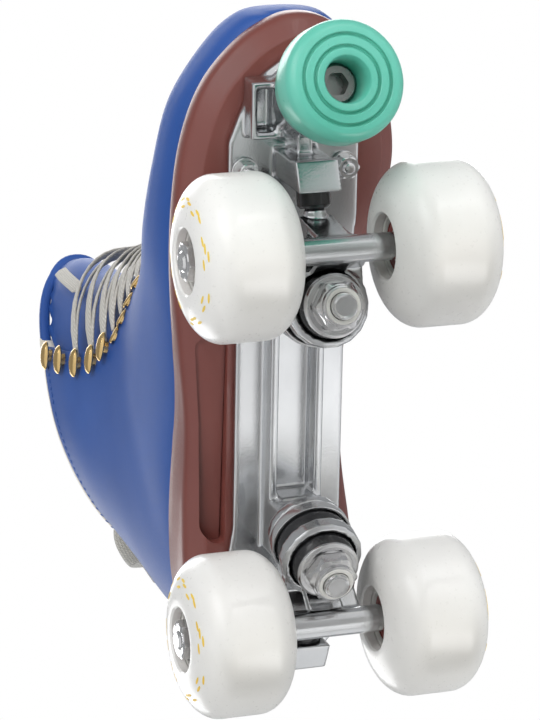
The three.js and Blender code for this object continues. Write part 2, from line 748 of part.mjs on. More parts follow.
const lineThrough = (points) => new THREE.CatmullRomCurve3(points, false, 'catmullrom', 0.5);
const instepLine = lineThrough(stations.map(([x, h]) => new THREE.Vector3(gradeX(x), 0, gradeZ(h))));
const soleLine = lineThrough(stations.map(([, , x, h]) => new THREE.Vector3(gradeX(x), 0, gradeZ(h))));
const widthLine = lineThrough(stations.map(([, , , , half, shift, squareness]) => (
  new THREE.Vector3(gradeY(half), gradeY(shift), squareness))));

const instepRoundness = 2.3;
const bent = (value, power) => Math.sign(value) * Math.abs(value) ** (2 / power);

// The point of the last's section at one station, turned by angle from the instep line.
function lastPoint(at, angle, inset) {
  const top = instepLine.getPoint(at);
  const across = soleLine.getPoint(at).sub(top);
  const half = across.length() / 2;
  const width = widthLine.getPoint(at);
  const power = Math.cos(angle) > 0 ? instepRoundness : width.z;
  const reach = Math.max(half - inset, 0.5) * bent(Math.cos(angle), power);
  const side = width.y + Math.max(width.x - inset, 0.5) * bent(Math.sin(angle), power);
  return top.addScaledVector(across.normalize(), half - reach).setY(side);
}

// The first station whose whole section lies far enough behind the toe for a given inset.
function toeStation(inset) {
  let at = 0;
  while (instepLine.getPoint(at).x > gradeX(stations[0][0]) - inset) at += 0.002;
  return at;
}

// All skins of the last share one grid of stations and angles, so that their facets run parallel.
const lastGrid = Array.from({ length: lastSections + 1 }, (_, k) => (collar * k) / lastSections);
const lastAngle = (step) => (step / lastSides) * 2 * Math.PI;

function lastRing(at, inset) {
  return Array.from({ length: lastSides }, (_, i) => lastPoint(at, lastAngle(i), inset));
}

function lastSkin(inset, end) {
  const start = inset > 0 ? toeStation(inset) : 0;
  const beyond = end > collar ? [(collar + end) / 2, end] : [];
  const rest = lastGrid.filter((at) => at > start + 0.01 && at <= end + 1e-9);
  const rings = [start, ...rest, ...beyond].map((at) => lastRing(at, inset));
  if (inset < 0) rings[0].forEach((point) => point.setX(point.x - inset));
  return skin(rings);
}

// Where the instep line has run a given distance from the tip of the toe.
const alongInstep = (distance) => instepLine.getUtoTmapping(0, distance);
const throatStart = alongInstep(throatFrom);
const throatAngle = (at) => THREE.MathUtils.degToRad(throatHalfAngle
  + (collarHalfAngle - throatHalfAngle) * THREE.MathUtils.smoothstep(at, throatStart, throatOpens));

// The opening down the front of the shaft, as a thick band that follows the last.
function throatCut() {
  const steps = 6;
  const rings = [];
  for (let k = 0; k <= 14; k += 1) {
    const at = throatStart + (1 - throatStart) * (k / 14);
    const angles = Array.from({ length: 2 * steps + 1 }, (_, i) => ((i - steps) / steps) * throatAngle(at));
    rings.push([
      ...angles.map((angle) => lastPoint(at, angle, -8)),
      ...angles.map((angle) => lastPoint(at, angle, 12)).reverse(),
    ]);
  }
  return skin(rings);
}

const liningInset = upperThickness + gap;
const footInset = liningInset + liningThickness + gap;

function upperShape() {
  const outside = solidOf(lastSkin(0, collar));
  return cutBy(outside, lastSkin(upperThickness, 1), throatCut());
}

function liningShape() {
  const outside = solidOf(lastSkin(liningInset, collar));
  return cutBy(outside, lastSkin(liningInset + liningThickness, 1), throatCut());
}

function insoleShape() {
  const forefoot = gradeZ(0) + footInset + insoleThickness;
  const heel = gradeZ(heelRise) + footInset + insoleThickness;
  const below = bootBase - 20;
  const under = sidePlate([
    [gradeX(-130), below],
    [gradeX(160), below],
    [gradeX(160), forefoot],
    [gradeX(44), forefoot],
    [gradeX(-42), heel],
    [gradeX(-130), heel],
  ], -bootWidth, bootWidth);
  return solidOf(lastSkin(footInset, collar * 0.85)).intersect(solidOf(under));
}

// The tongue follows the last under the laces, and its top leans forward out of the collar.
function tongueShape() {
  const half = 5; // steps of the last's grid on each side of the instep line
  const stationList = [...lastGrid.filter((at) => at > throatStart - 0.05), (collar + 1) / 2, 1];
  const steps = Array.from({ length: 2 * half + 1 }, (_, i) => i - half);
  const place = (at, step, inset) => {
    const free = Math.max(0, 1 - (Math.abs(lastAngle(step)) / throatAngle(at)) ** 2);
    const loose = at > collar ? Math.max(free, (at - collar) / (1 - collar)) : free;
    const forward = tongueFlare * loose * THREE.MathUtils.smoothstep(at, flareStart, 1);
    const point = lastPoint(at, lastAngle(step), inset);
    return point.setX(point.x + forward);
  };
  return skin(stationList.map((at) => [
    ...steps.map((step) => place(at, step, footInset)),
    ...steps.map((step) => place(at, step, footInset + tongueThickness)).reverse(),
  ]));
}

// The edge line of the sole in plan, drawn at the same size as the last.
const soleEdge = [
  [-114.5, 0], [-111, -17], [-99, -31], [-78, -37.5], [-45, -39], [-10, -38.8], [20, -41.5], [50, -44],
  [80, -43.4], [104, -40], [124, -32.3], [139, -19.5], [147, -7], [149.5, 3], [147, 15], [137, 29],
  [118, 39.5], [94, 43.6], [72, 39.5], [45, 31], [10, 25], [-25, 25.5], [-60, 30.5], [-88, 32.5],
  [-106, 20],
];

// The sole's outline at a height, pulled in by inset along its own normals.
function soleRing(inset, height) {
  const curve = lineThrough(soleEdge.map(([x, y]) => new THREE.Vector3(gradeX(x), gradeY(y), 0)));
  curve.closed = true;
  const sides = 44;
  const ring = [];
  for (let i = 0; i < sides; i += 1) {
    const point = curve.getPoint(i / sides);
    const along = curve.getTangent(i / sides);
    ring.push(new THREE.Vector3(point.x - along.y * inset, point.y + along.x * inset, height));
  }
  return ring;
}

function outsoleShape() {
  const bevelTop = soleBottom + soleBevel;
  const high = gradeZ(heelRise) + soleLip;
  const low = gradeZ(0) + soleLip;
  const body = solidOf(skin([
    soleRing(soleBevel, soleBottom),
    soleRing(soleBevel * 0.3, soleBottom + soleBevel * 0.6),
    soleRing(0, bevelTop),
    soleRing(0, high + 5),
  ]));
  const above = sidePlate([
    [gradeX(-140), high],
    [gradeX(-52), high],
    [gradeX(-20), gradeZ(waistRise) + soleLip - 1.5],
    [gradeX(8), gradeZ(archRise) + soleLip],
    [gradeX(44), low],
    [gradeX(170), low],
    [gradeX(170), high + 40],
    [gradeX(-140), high + 40],
  ], -bootWidth, bootWidth);
  const archPocket = solidOf(slab([
    [gradeX(27), gradeY(-37)], [gradeX(-8), gradeY(-34)], [gradeX(-52), gradeY(-34)],
    [gradeX(-57), gradeY(-29)], [gradeX(-57), -waistHalfWidth - 2.4], [gradeX(27), -waistHalfWidth - 2.4],
  ], soleBottom - past, high + 5)).intersect(solidOf(sidePlate([
    [gradeX(28), soleBottom - past],
    [gradeX(28), soleBottom + 1],
    [gradeX(4), soleBottom + 9],
    [gradeX(-50), soleBottom + 12],
    [gradeX(-58), soleBottom - past],
  ], -bootWidth, 0)));
  let sole = cutBy(body, above, lastSkin(-gap, collar)).subtract(archPocket);
  for (const { x, y, top } of mountingPlaces()) {
    const hole = bar(boltBore, boltBore, soleBottom - past, top + past, coarse).translate(x, y, 0);
    const seat = mountingHeadRadius + gap;
    const headHole = bar(seat, seat, top - mountingHeadHeight - gap, top + 6, coarse).translate(x, y, 0);
    sole = cutBy(sole, hole, headHole);
  }
  return sole;
}

// The four mounting bolts: their places and the height of their heads in the sole.
function mountingPlaces() {
  const places = [];
  for (const [end, heading, bolts, rise] of [['front', 1, frontBolts, 0], ['rear', -1, rearBolts, heelRise]]) {
    for (const [sideName, side] of [['left', 1], ['right', -1]]) {
      places.push({
        name: `${end}_${sideName}_mounting`,
        x: heading * (axleX + bolts.beyondAxle),
        y: side * bolts.spread,
        top: gradeZ(rise) - 2 * gap - 1,
      });
    }
  }
  return places;
}

function mountingBolt({ name, x, y, top }) {
  const low = deckUnderside - gap - mountingWasherHeight - mountingNutHeight - mountingBoltShow;
  const shape = turned([
    [0, low],
    [mountingBoltRadius - 0.5, low],
    [mountingBoltRadius, low + 0.5],
    [mountingBoltRadius, top - mountingHeadHeight],
    [mountingHeadRadius, top - mountingHeadHeight * 0.4],
    [mountingHeadRadius, top],
    [0, top],
  ], coarse);
  return turnedPiece(`${name}_bolt`, shape.translate(x, y, 0), 'steel');
}

function mountingNut({ name, x, y }) {
  const top = deckUnderside - gap;
  const washerLow = top - mountingWasherHeight;
  const low = washerLow - mountingNutHeight;
  const bore = mountingBoltRadius + runningGap;
  const body = joined(
    bar(mountingWasherRadius, mountingWasherRadius, washerLow, top, medium),
    hexagon(mountingNutFlats, low, washerLow + 0.01),
  );
  const bored = cutBy(body, bar(bore, bore, low - past, top + past, coarse));
  const geometry = geometryOf(bored).translate(x, y, 0);
  return piece(`${name}_nut`, geometry, 'steel');
}

// The lace: bars and crossings from side to side over the throat, as one piece.
function laceShape() {
  const rows = Array.from({ length: laceRows }, (_, k) => alongInstep(throatFrom + 8 + k * lacePitch));
  const besideThroat = THREE.MathUtils.degToRad(8);
  const place = (at, side) => {
    const over = laceRadius + gap + laceLift * (1 - side ** 4);
    return lastPoint(at, side * (throatAngle(at) + besideThroat), -over);
  };
  const strands = [];
  const strand = (from, to, fromSide, toSide) => {
    const points = [];
    for (let i = 0; i <= 6; i += 1) {
      const share = i / 6;
      points.push(place(from + (to - from) * share, fromSide + (toSide - fromSide) * share));
    }
    const rim = outline([0, 1, 2, 3].map((k) => {
      const angle = (k / 4) * 2 * Math.PI;
      return [laceRadius * Math.cos(angle), laceRadius * Math.sin(angle)];
    }));
    const settings = { steps: 5, extrudePath: lineThrough(points), bevelEnabled: false };
    strands.push(new THREE.ExtrudeGeometry(rim, settings));
  };
  strand(rows[0], rows[0], -1, 1);
  for (let k = 0; k + 1 < rows.length; k += 1) {
    strand(rows[k], rows[k + 1], -1, 1);
    strand(rows[k], rows[k + 1], 1, -1);
  }
  return joined(...strands);
}

// The pull loop: a strap sewn flat to the back of the collar and folded back on itself above it.
function pullLoopShape() {
  const high = soleLine.getPoint(collar);
  const low = soleLine.getPoint(collar - 0.06);
  const lean = Math.atan2(high.x - low.x, high.z - low.z);
  const [thick, out, tall, sewn] = [pullLoopThickness, pullLoopOut, pullLoopHeight, pullLoopSewn];
  const shape = new THREE.Shape();
  shape.moveTo(0, -sewn);
  shape.lineTo(0, tall - 6);
  shape.bezierCurveTo(0, tall + 2, -out, tall + 2, -out, tall * 0.5);
  shape.bezierCurveTo(-out, tall * 0.1, -thick * 1.5, tall * 0.1, -thick, -6);
  shape.lineTo(-thick, -sewn);
  shape.lineTo(0, -sewn);
  const hollow = new THREE.Path();
  const inner = out - thick;
  hollow.moveTo(-thick, tall * 0.2);
  hollow.bezierCurveTo(-inner * 0.6, tall * 0.2, -inner, tall * 0.3, -inner, tall * 0.52);
  hollow.bezierCurveTo(-inner, tall - 2, -thick, tall, -thick, tall - 7);
  hollow.lineTo(-thick, tall * 0.2);
  shape.holes.push(hollow);
  const settings = { depth: pullLoopWidth, bevelEnabled: false, curveSegments: 6 };
  const loop = new THREE.ExtrudeGeometry(shape, settings).rotateX(Math.PI / 2);
  const shift = widthLine.getPoint(collar).y;
  return loop.rotateY(lean).translate(high.x - 2 * gap - 0.5, shift + pullLoopWidth / 2, high.z - 6);
}

function boot() {
  const group = new THREE.Group();
  group.add(
    builtPiece('outsole', outsoleShape(), 'mouldedSole'),
    builtPiece('upper', upperShape(), 'microfibre'),
    builtPiece('lining', liningShape(), 'lining'),
    turnedPiece('tongue', tongueShape(), 'microfibre'),
    builtPiece('insole', insoleShape(), 'lining'),
    builtPiece('lace', laceShape(), 'webbing'),
    turnedPiece('pull_loop', pullLoopShape(), 'webbing'),
  );
  return group;
}

// ---------------------------------------------------------------- assembly

const skate = new THREE.Group();
skate.add(boot());
skate.add(builtPiece('plate', plateShape(), 'castAluminium'));
mountingPlaces().forEach((place) => skate.add(mountingBolt(place), mountingNut(place)));
skate.add(toeStop());
skate.add(truck('front', 1));
skate.add(truck('rear', -1));

skate.updateMatrixWorld(true);
const extent = new THREE.Box3().setFromObject(skate);
skate.position.x = -(extent.min.x + extent.max.x) / 2;
skate.updateMatrixWorld(true);

export default skate;
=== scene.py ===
# %% [markdown]
# # A roller skate, built as a lesson
# The skate is a laced microfibre boot on a moulded sole, a cast plate bolted under it, two
# steering trucks, four wheels and a rubber toe stop. The measured frame is loaded first,
# because every piece made here takes its place from it.

# %% Load the measured frame
import math
import bmesh
import bpy
import numpy as np
from mathutils import Matrix, Vector


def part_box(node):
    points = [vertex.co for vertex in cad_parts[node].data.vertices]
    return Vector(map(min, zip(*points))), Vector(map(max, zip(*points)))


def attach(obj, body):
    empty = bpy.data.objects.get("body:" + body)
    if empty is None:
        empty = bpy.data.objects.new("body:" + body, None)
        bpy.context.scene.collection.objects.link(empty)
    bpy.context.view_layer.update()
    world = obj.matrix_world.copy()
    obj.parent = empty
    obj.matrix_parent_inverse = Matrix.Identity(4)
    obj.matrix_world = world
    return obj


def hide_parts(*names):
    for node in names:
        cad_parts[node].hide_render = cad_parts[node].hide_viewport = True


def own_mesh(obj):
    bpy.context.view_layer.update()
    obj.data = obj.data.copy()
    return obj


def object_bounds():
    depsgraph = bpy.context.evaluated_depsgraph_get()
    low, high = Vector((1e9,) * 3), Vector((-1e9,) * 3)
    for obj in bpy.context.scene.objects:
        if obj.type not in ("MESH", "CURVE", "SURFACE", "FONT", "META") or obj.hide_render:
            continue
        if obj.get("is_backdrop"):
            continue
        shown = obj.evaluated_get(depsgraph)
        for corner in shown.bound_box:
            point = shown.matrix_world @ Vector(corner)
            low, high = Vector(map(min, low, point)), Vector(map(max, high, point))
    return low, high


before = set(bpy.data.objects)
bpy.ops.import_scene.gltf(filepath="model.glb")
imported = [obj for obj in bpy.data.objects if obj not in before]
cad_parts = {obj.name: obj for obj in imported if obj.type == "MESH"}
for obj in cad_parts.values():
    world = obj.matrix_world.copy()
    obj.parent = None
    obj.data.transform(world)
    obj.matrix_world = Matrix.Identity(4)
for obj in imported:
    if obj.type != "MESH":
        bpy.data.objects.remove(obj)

cad_low, cad_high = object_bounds()
print("frame", [round(v, 4) for v in cad_high - cad_low])

# %% [markdown]
# ## Where things are
# The drawing's origin is midway between the two axles and on the floor, so the middle of the
# two axle boxes says how far the frame slid along X. Lengths are kept in millimetres, as a
# maker would say them, and turned into metres once, at the end.

# %% The drawing's own places, in millimetres
METRE = 0.001
front_axle, rear_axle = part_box("front_axle"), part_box("rear_axle")
slide = (front_axle[0].x + front_axle[1].x + rear_axle[0].x + rear_axle[1].x) / 4 / METRE
axle_x = (front_axle[0].x + front_axle[1].x - rear_axle[0].x - rear_axle[1].x) / 4 / METRE
axle_height = (front_axle[0].z + front_axle[1].z) / 2 / METRE
ROW = Matrix.Translation((slide, 0, 0))
print("slide", round(slide, 3), "axles", round(axle_x, 2), "height", round(axle_height, 2))


def stack_place(heading):
    """The tilted kingpin stack of a truck: Z up the kingpin, X towards the pivot."""
    turn = Matrix.Rotation(0 if heading > 0 else math.pi, 4, "Z")
    tilt = Matrix.Rotation(math.radians(-15), 4, "Y")
    at_axle = Matrix.Translation((heading * axle_x, 0, axle_height))
    return ROW @ at_axle @ turn @ Matrix.Translation((-25.5, 0, 15.5)) @ tilt


stop_place = (ROW @ Matrix.Translation((axle_x + 65.5, 0, axle_height - 7))
              @ Matrix.Rotation(math.radians(-21), 4, "Y"))

# %% [markdown]
# ## Camera
# The skate is held up on its side of the frame and seen from below and in front of the outer
# side, through a long lens, so that the trucks and the boot are both in view.

# %% Camera
camera_data = bpy.data.cameras.new("view")
camera_data.lens, camera_data.sensor_width = 173.44, 36
camera_data.clip_start, camera_data.clip_end = 0.05, 20
camera = bpy.data.objects.new("view", camera_data)
bpy.context.scene.collection.objects.link(camera)
bpy.context.scene.camera = camera
across = Vector((0.01881, 0.94459, -0.32771)).normalized()
ahead = Vector((-0.30449, 0.31761, 0.898)).normalized()
up = across.cross(ahead).normalized()
seat = Vector((421.12 + slide, -429.52, -1112.46)) * METRE
camera.matrix_world = Matrix((
    (across.x, up.x, -ahead.x, seat.x),
    (across.y, up.y, -ahead.y, seat.y),
    (across.z, up.z, -ahead.z, seat.z),
    (0, 0, 0, 1)))
print("camera at", [round(v, 3) for v in seat])

# %% [markdown]
# ## Floor and light
# The floor is a pale sheet under the wheels. Its lower face lets the eye through, because the
# view is from underneath, and it holds back no light. Broad, soft panels give the metal long
# pale reflections, and a white room fills the rest.

# %% Floor, room and lamps
def node_tree(owner):
    """An empty node tree, with short ways to add a node and to link two sockets."""
    owner.use_nodes = True
    tree = owner.node_tree
    tree.nodes.clear()
    return tree, (lambda kind: tree.nodes.new(kind)), tree.links.new


def make_floor():
    """A pale sheet that only its upper face shows."""
    material = bpy.data.materials.new("pale_floor")
    tree, add, link = node_tree(material)
    out, mix = add("ShaderNodeOutputMaterial"), add("ShaderNodeMixShader")
    clear, paint, side = (add("ShaderNodeBsdfTransparent"), add("ShaderNodeBsdfPrincipled"),
                          add("ShaderNodeNewGeometry"))
    noise, ramp = add("ShaderNodeTexNoise"), add("ShaderNodeValToRGB")
    noise.inputs["Scale"].default_value = 3
    ramp.color_ramp.elements[0].color = (0.86, 0.86, 0.86, 1)
    ramp.color_ramp.elements[1].color = (0.9, 0.9, 0.9, 1)
    paint.inputs["Roughness"].default_value = 0.9
    link(noise.outputs["Fac"], ramp.inputs["Fac"])
    link(ramp.outputs["Color"], paint.inputs["Base Color"])
    link(side.outputs["Backfacing"], mix.inputs["Fac"])
    link(paint.outputs[0], mix.inputs[1])
    link(clear.outputs[0], mix.inputs[2])
    link(mix.outputs[0], out.inputs["Surface"])
    mesh = bpy.data.meshes.new("floor")
    half = 3.0
    mesh.from_pydata([(-half, -half, 0), (half, -half, 0), (half, half, 0), (-half, half, 0)],
                     [], [(0, 1, 2, 3)])
    mesh.materials.append(material)
    floor = bpy.data.objects.new("floor", mesh)
    bpy.context.scene.collection.objects.link(floor)
    floor.visible_shadow = False
    floor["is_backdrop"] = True


def make_room():
    """A white room to the eye, and a dimmer one to the lamps' light."""
    world = bpy.data.worlds.new("white_room")
    bpy.context.scene.world = world
    tree, add, link = node_tree(world)
    out, mix = add("ShaderNodeOutputWorld"), add("ShaderNodeMixShader")
    eye = add("ShaderNodeLightPath")
    seen, lit = add("ShaderNodeBackground"), add("ShaderNodeBackground")
    seen.inputs["Color"].default_value = (1, 1, 1, 1)
    seen.inputs["Strength"].default_value = 1.0
    lit.inputs["Color"].default_value = (0.96, 0.98, 1, 1)
    lit.inputs["Strength"].default_value = 0.38
    link(eye.outputs["Is Camera Ray"], mix.inputs["Fac"])
    link(lit.outputs[0], mix.inputs[1])
    link(seen.outputs[0], mix.inputs[2])
    link(mix.outputs[0], out.inputs["Surface"])


def lamp(name, place, target, size, power):
    """A soft panel aimed at the target."""
    data = bpy.data.lights.new(name, "AREA")
    data.shape, data.size, data.size_y, data.energy = "RECTANGLE", size[0], size[1], power
    light = bpy.data.objects.new(name, data)
    light.location = place
    light.rotation_euler = (Vector(target) - Vector(place)).to_track_quat("-Z", "Y").to_euler()
    bpy.context.scene.collection.objects.link(light)


bpy.context.scene.view_settings.view_transform = "Standard"
make_floor()
make_room()
middle = (cad_low + cad_high) / 2
lamp("key_panel", (0.9, -0.9, -0.35), middle, (0.6, 0.9), 7.5)
lamp("front_panel", (1.1, 0.3, -0.5), middle, (0.35, 1.0), 4)
lamp("low_panel", (-0.5, 0.5, -1.0), middle, (0.4, 0.7), 3.5)
lamp("rear_panel", (-1.0, -0.4, 1.2), middle, (0.6, 0.9), 5)
lamp("top_panel", (0.1, 0.2, 1.6), middle, (1.2, 1.2), 16)
print("floor, room and lamps made")

# %% [markdown]
# ## Finishes
# Nothing real is one flat colour. Every finish starts from a base, drifts a little to a second
# tone over the piece, has a gloss that wanders, and a fine grain that bends the light. One
# helper makes them all, and the settings that differ are the craft: fine and tight for
# microfibre, broad and soft for cast metal.

# %% A finish from two tones, a gloss and a grain
finishes = {}


def finish(name, base, second, gloss, grain, bump=0.1, metal=0.0, coat=0.0, patch=25.0,
           sheen=0.0):
    """Two tones drifting over patches, a gloss between two values, and a fine grain."""
    material = bpy.data.materials.new(name)
    tree, add, link = node_tree(material)
    out, skin = add("ShaderNodeOutputMaterial"), add("ShaderNodeBsdfPrincipled")
    where = add("ShaderNodeTexCoord")
    broad, fine = add("ShaderNodeTexNoise"), add("ShaderNodeTexNoise")
    tones = add("ShaderNodeValToRGB")
    shine, dent = add("ShaderNodeMapRange"), add("ShaderNodeBump")
    broad.inputs["Scale"].default_value, broad.inputs["Detail"].default_value = patch, 4
    fine.inputs["Scale"].default_value, fine.inputs["Detail"].default_value = grain, 3
    tones.color_ramp.elements[0].position, tones.color_ramp.elements[1].position = 0.3, 0.7
    tones.color_ramp.elements[0].color = (*base, 1)
    tones.color_ramp.elements[1].color = (*second, 1)
    shine.inputs["To Min"].default_value, shine.inputs["To Max"].default_value = gloss
    dent.inputs["Strength"].default_value = bump
    dent.inputs["Distance"].default_value = 0.0004
    skin.inputs["Metallic"].default_value = metal
    skin.inputs["Coat Weight"].default_value = coat
    skin.inputs["Coat Roughness"].default_value = 0.12
    skin.inputs["Sheen Weight"].default_value = sheen
    for noise in (broad, fine):
        link(where.outputs["Object"], noise.inputs["Vector"])
    link(broad.outputs["Fac"], tones.inputs["Fac"])
    link(tones.outputs["Color"], skin.inputs["Base Color"])
    link(fine.outputs["Fac"], shine.inputs["Value"])
    link(shine.outputs["Result"], skin.inputs["Roughness"])
    link(fine.outputs["Fac"], dent.inputs["Height"])
    link(dent.outputs["Normal"], skin.inputs["Normal"])
    link(skin.outputs[0], out.inputs["Surface"])
    finishes[name] = material
    return material


finish("sole_moulding", (0.16, 0.042, 0.034), (0.20, 0.058, 0.046),
       (0.3, 0.44), 1200, 0.03, coat=0.12, patch=12)
finish("blue_microfibre", (0.012, 0.072, 0.31), (0.018, 0.088, 0.36),
       (0.45, 0.62), 2600, 0.2, sheen=0.02)
finish("cream_lining", (0.72, 0.66, 0.55), (0.8, 0.75, 0.65), (0.7, 0.9), 1900, 0.4, sheen=0.3)
finish("cast_metal", (0.58, 0.59, 0.60), (0.72, 0.73, 0.74), (0.12, 0.26), 1300, 0.1, metal=1.0)
finish("bright_steel", (0.66, 0.66, 0.67), (0.78, 0.78, 0.78), (0.12, 0.26), 700, 0.05, metal=1.0)
finish("dark_steel", (0.2, 0.19, 0.19), (0.3, 0.29, 0.28), (0.2, 0.4), 800, 0.06, metal=1.0)
finish("black_cushion", (0.008, 0.008, 0.009), (0.02, 0.02, 0.022),
       (0.14, 0.3), 700, 0.05, coat=0.35)
finish("mint_rubber", (0.10, 0.48, 0.36), (0.14, 0.55, 0.43), (0.24, 0.36), 700, 0.03, coat=0.2)
finish("white_urethane", (0.84, 0.83, 0.80), (0.88, 0.875, 0.85),
       (0.24, 0.34), 700, 0.012, coat=0.2)
finish("hub_nylon", (0.66, 0.66, 0.62), (0.78, 0.77, 0.73), (0.35, 0.55), 900, 0.1)
finish("red_shield", (0.16, 0.018, 0.014), (0.22, 0.03, 0.022), (0.25, 0.4), 900, 0.06)
finish("aged_brass", (0.62, 0.42, 0.17), (0.78, 0.56, 0.26), (0.14, 0.3), 700, 0.08, metal=1.0)
finish("printed_yellow", (0.85, 0.55, 0.05), (0.9, 0.68, 0.12), (0.4, 0.6), 900, 0.05)
print(len(finishes), "finishes")

# %% [markdown]
# ## A woven finish
# Laces and webbing are flat weaves. The threads are drawn from the strip's own map, which runs
# across and along it in millimetres, so that the weave follows every bend.

# %% A weave that follows its strip
def weave(name, base, second, across_mm, along_mm, bump):
    """Two sets of threads crossing, with their widths across and along the strip."""
    material = finish(name, base, second, (0.7, 0.9), 2500, 0.2, sheen=0.2)
    tree = material.node_tree
    add, link = tree.nodes.new, tree.links.new
    skin = next(n for n in tree.nodes if n.type == "BSDF_PRINCIPLED")
    place, scale = add("ShaderNodeUVMap"), add("ShaderNodeMapping")
    place.uv_map = "strip"
    scale.inputs["Scale"].default_value = (1 / across_mm, 1 / along_mm, 1)
    threads, other = add("ShaderNodeTexWave"), add("ShaderNodeTexWave")
    threads.bands_direction, other.bands_direction = "X", "DIAGONAL"
    for wave in (threads, other):
        wave.inputs["Scale"].default_value = 0.3142
        wave.inputs["Distortion"].default_value = 0.4
        link(scale.outputs["Vector"], wave.inputs["Vector"])
    both, dent = add("ShaderNodeMath"), add("ShaderNodeBump")
    both.operation = "MULTIPLY"
    dent.inputs["Strength"].default_value, dent.inputs["Distance"].default_value = bump, 0.0004
    shade, tones = add("ShaderNodeMix"), skin.inputs["Base Color"].links[0].from_socket
    shade.data_type, shade.blend_type = "RGBA", "MULTIPLY"
    shade.inputs[0].default_value = 0.35
    link(place.outputs["UV"], scale.inputs["Vector"])
    link(threads.outputs["Fac"], both.inputs[0])
    link(other.outputs["Fac"], both.inputs[1])
    link(both.outputs[0], dent.inputs["Height"])
    link(tones, shade.inputs[6])
    link(both.outputs[0], shade.inputs[7])
    link(shade.outputs[2], skin.inputs["Base Color"])
    link(dent.outputs["Normal"], skin.inputs["Normal"])


weave("lace_weave", (0.7, 0.67, 0.6), (0.82, 0.79, 0.73), 0.9, 1.2, 0.8)
weave("loop_webbing", (0.68, 0.67, 0.63), (0.8, 0.79, 0.75), 1.3, 1.1, 1.0)
print("weaves made")

# %% [markdown]
# ## Making and hanging a piece
# Each mesh is closed, its doubles are merged, its faces are turned outwards, and only then is
# it given a finish, hung on the part of the skate that it moves with, and put in place of the
# plain solid that it details.

# %% Helpers for a piece
def hang(name, mesh, material, body, stands_for=(), sharp=35.0):
    """Gives a mesh its finish and its body. Edges sharper than so many degrees stay crisp."""
    mesh.name = name
    mesh.materials.clear()
    mesh.materials.append(finishes[material])
    mesh.polygons.foreach_set("use_smooth", [True] * len(mesh.polygons))
    mesh.set_sharp_from_angle(angle=math.radians(sharp))
    piece = bpy.data.objects.new(name, mesh)
    bpy.context.scene.collection.objects.link(piece)
    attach(piece, body)
    if stands_for:
        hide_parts(*stands_for)
    return piece


def tidy(points, faces, place=Matrix.Identity(4), merge=1e-4):
    """A mesh in metres from points in millimetres, merged, closed and facing outwards."""
    mesh = bpy.data.meshes.new("made")
    matrix = np.array(place)
    laid = np.array(points, float) @ matrix[:3, :3].T + matrix[:3, 3]
    mesh.from_pydata([tuple(p) for p in laid], [], faces)
    work = bmesh.new()
    work.from_mesh(mesh)
    bmesh.ops.remove_doubles(work, verts=work.verts, dist=merge)
    bmesh.ops.dissolve_degenerate(work, edges=work.edges, dist=merge)
    bmesh.ops.recalc_face_normals(work, faces=work.faces)
    bmesh.ops.scale(work, vec=(METRE,) * 3, verts=work.verts)
    work.to_mesh(mesh)
    work.free()
    return mesh


def lofted(rings, place=ROW):
    """A closed skin through rings of as many points each, with a lid on both ends."""
    size, last = len(rings[0]), (len(rings) - 1) * len(rings[0])
    faces = [(i * size + j, i * size + (j + 1) % size, (i + 1) * size + (j + 1) % size,
              (i + 1) * size + j) for i in range(len(rings) - 1) for j in range(size)]
    faces += [tuple(range(size))[::-1], tuple(range(last, last + size))]
    return tidy([tuple(point) for ring in rings for point in ring], faces, place)


def eased(profile, radius, steps=3):
    """Rounds each corner of a closed profile with a small arc."""
    out = []
    count = len(profile)
    for i, here in enumerate(profile):
        if here[0] == 0:
            out.append(tuple(here))
            continue
        p = Vector(here[:2])
        a, b = Vector(profile[i - 1][:2]), Vector(profile[(i + 1) % count][:2])
        back, on = (a - p), (b - p)
        if back.length < 1e-6 or on.length < 1e-6 or abs(back.angle(on) - math.pi) < 0.12:
            out.append(tuple(here))
            continue
        reach = min(radius, back.length * 0.45, on.length * 0.45)
        start, end = p + back.normalized() * reach, p + on.normalized() * reach
        for k in range(steps + 1):
            t = k / steps
            q = start * (1 - t) ** 2 + p * 2 * t * (1 - t) + end * t * t
            out.append((q.x, q.y, *here[2:]))
    return out


def turned(profile, place, sides=96):
    """A closed profile of (radius, height) turned about Z. A third value makes that point
    hexagonal, at most that far across the flats."""
    count = len(profile)
    points, faces = [], []
    for j in range(sides):
        angle = 2 * math.pi * j / sides
        flat = math.cos(((angle + math.pi / 6) % (math.pi / 3)) - math.pi / 6)
        for entry in profile:
            radius = entry[0]
            if len(entry) > 2:
                radius = min(radius, entry[2] / 2 / flat)
            points.append((radius * math.cos(angle), radius * math.sin(angle), entry[1]))
    for j in range(sides):
        here, there = j * count, ((j + 1) % sides) * count
        for i in range(count):
            k = (i + 1) % count
            if profile[i][0] == 0 and profile[k][0] == 0:
                continue
            faces.append((here + i, there + i, there + k, here + k))
    return tidy(points, faces, place)


print("helpers ready")

# %% [markdown]
# ## Wheels
# A wheel is a urethane tyre cast round a nylon hub, with a sealed bearing pressed into each
# side. All of it is turned, so each part is one profile spun about the axle. Corners are
# eased, since a moulded edge always catches a thin line of light.

# %% Tyre, hub and bearing profiles
def tyre_profile():
    """A flat tread, two quarter-round shoulders and a bore that widens over the hub."""
    half, tread, mouth, radius = 20.3, 7.5, 12.2, 31.0
    corner = []
    for k in range(15):
        angle = math.radians(90 * k / 14)
        corner.append((radius - (radius - mouth) * (1 - math.cos(angle)),
                       tread + (half - tread) * math.sin(angle)))
    corner[-1] = (mouth + 0.6, half - 0.1)
    bottom = [(r, -z) for r, z in reversed(corner)]
    bore = [(mouth, half - 0.8), (mouth, 16.3), (15.1, 16.3), (15.1, -16.3), (mouth, -16.3),
            (mouth, 0.8 - half)]
    return bottom + corner + bore


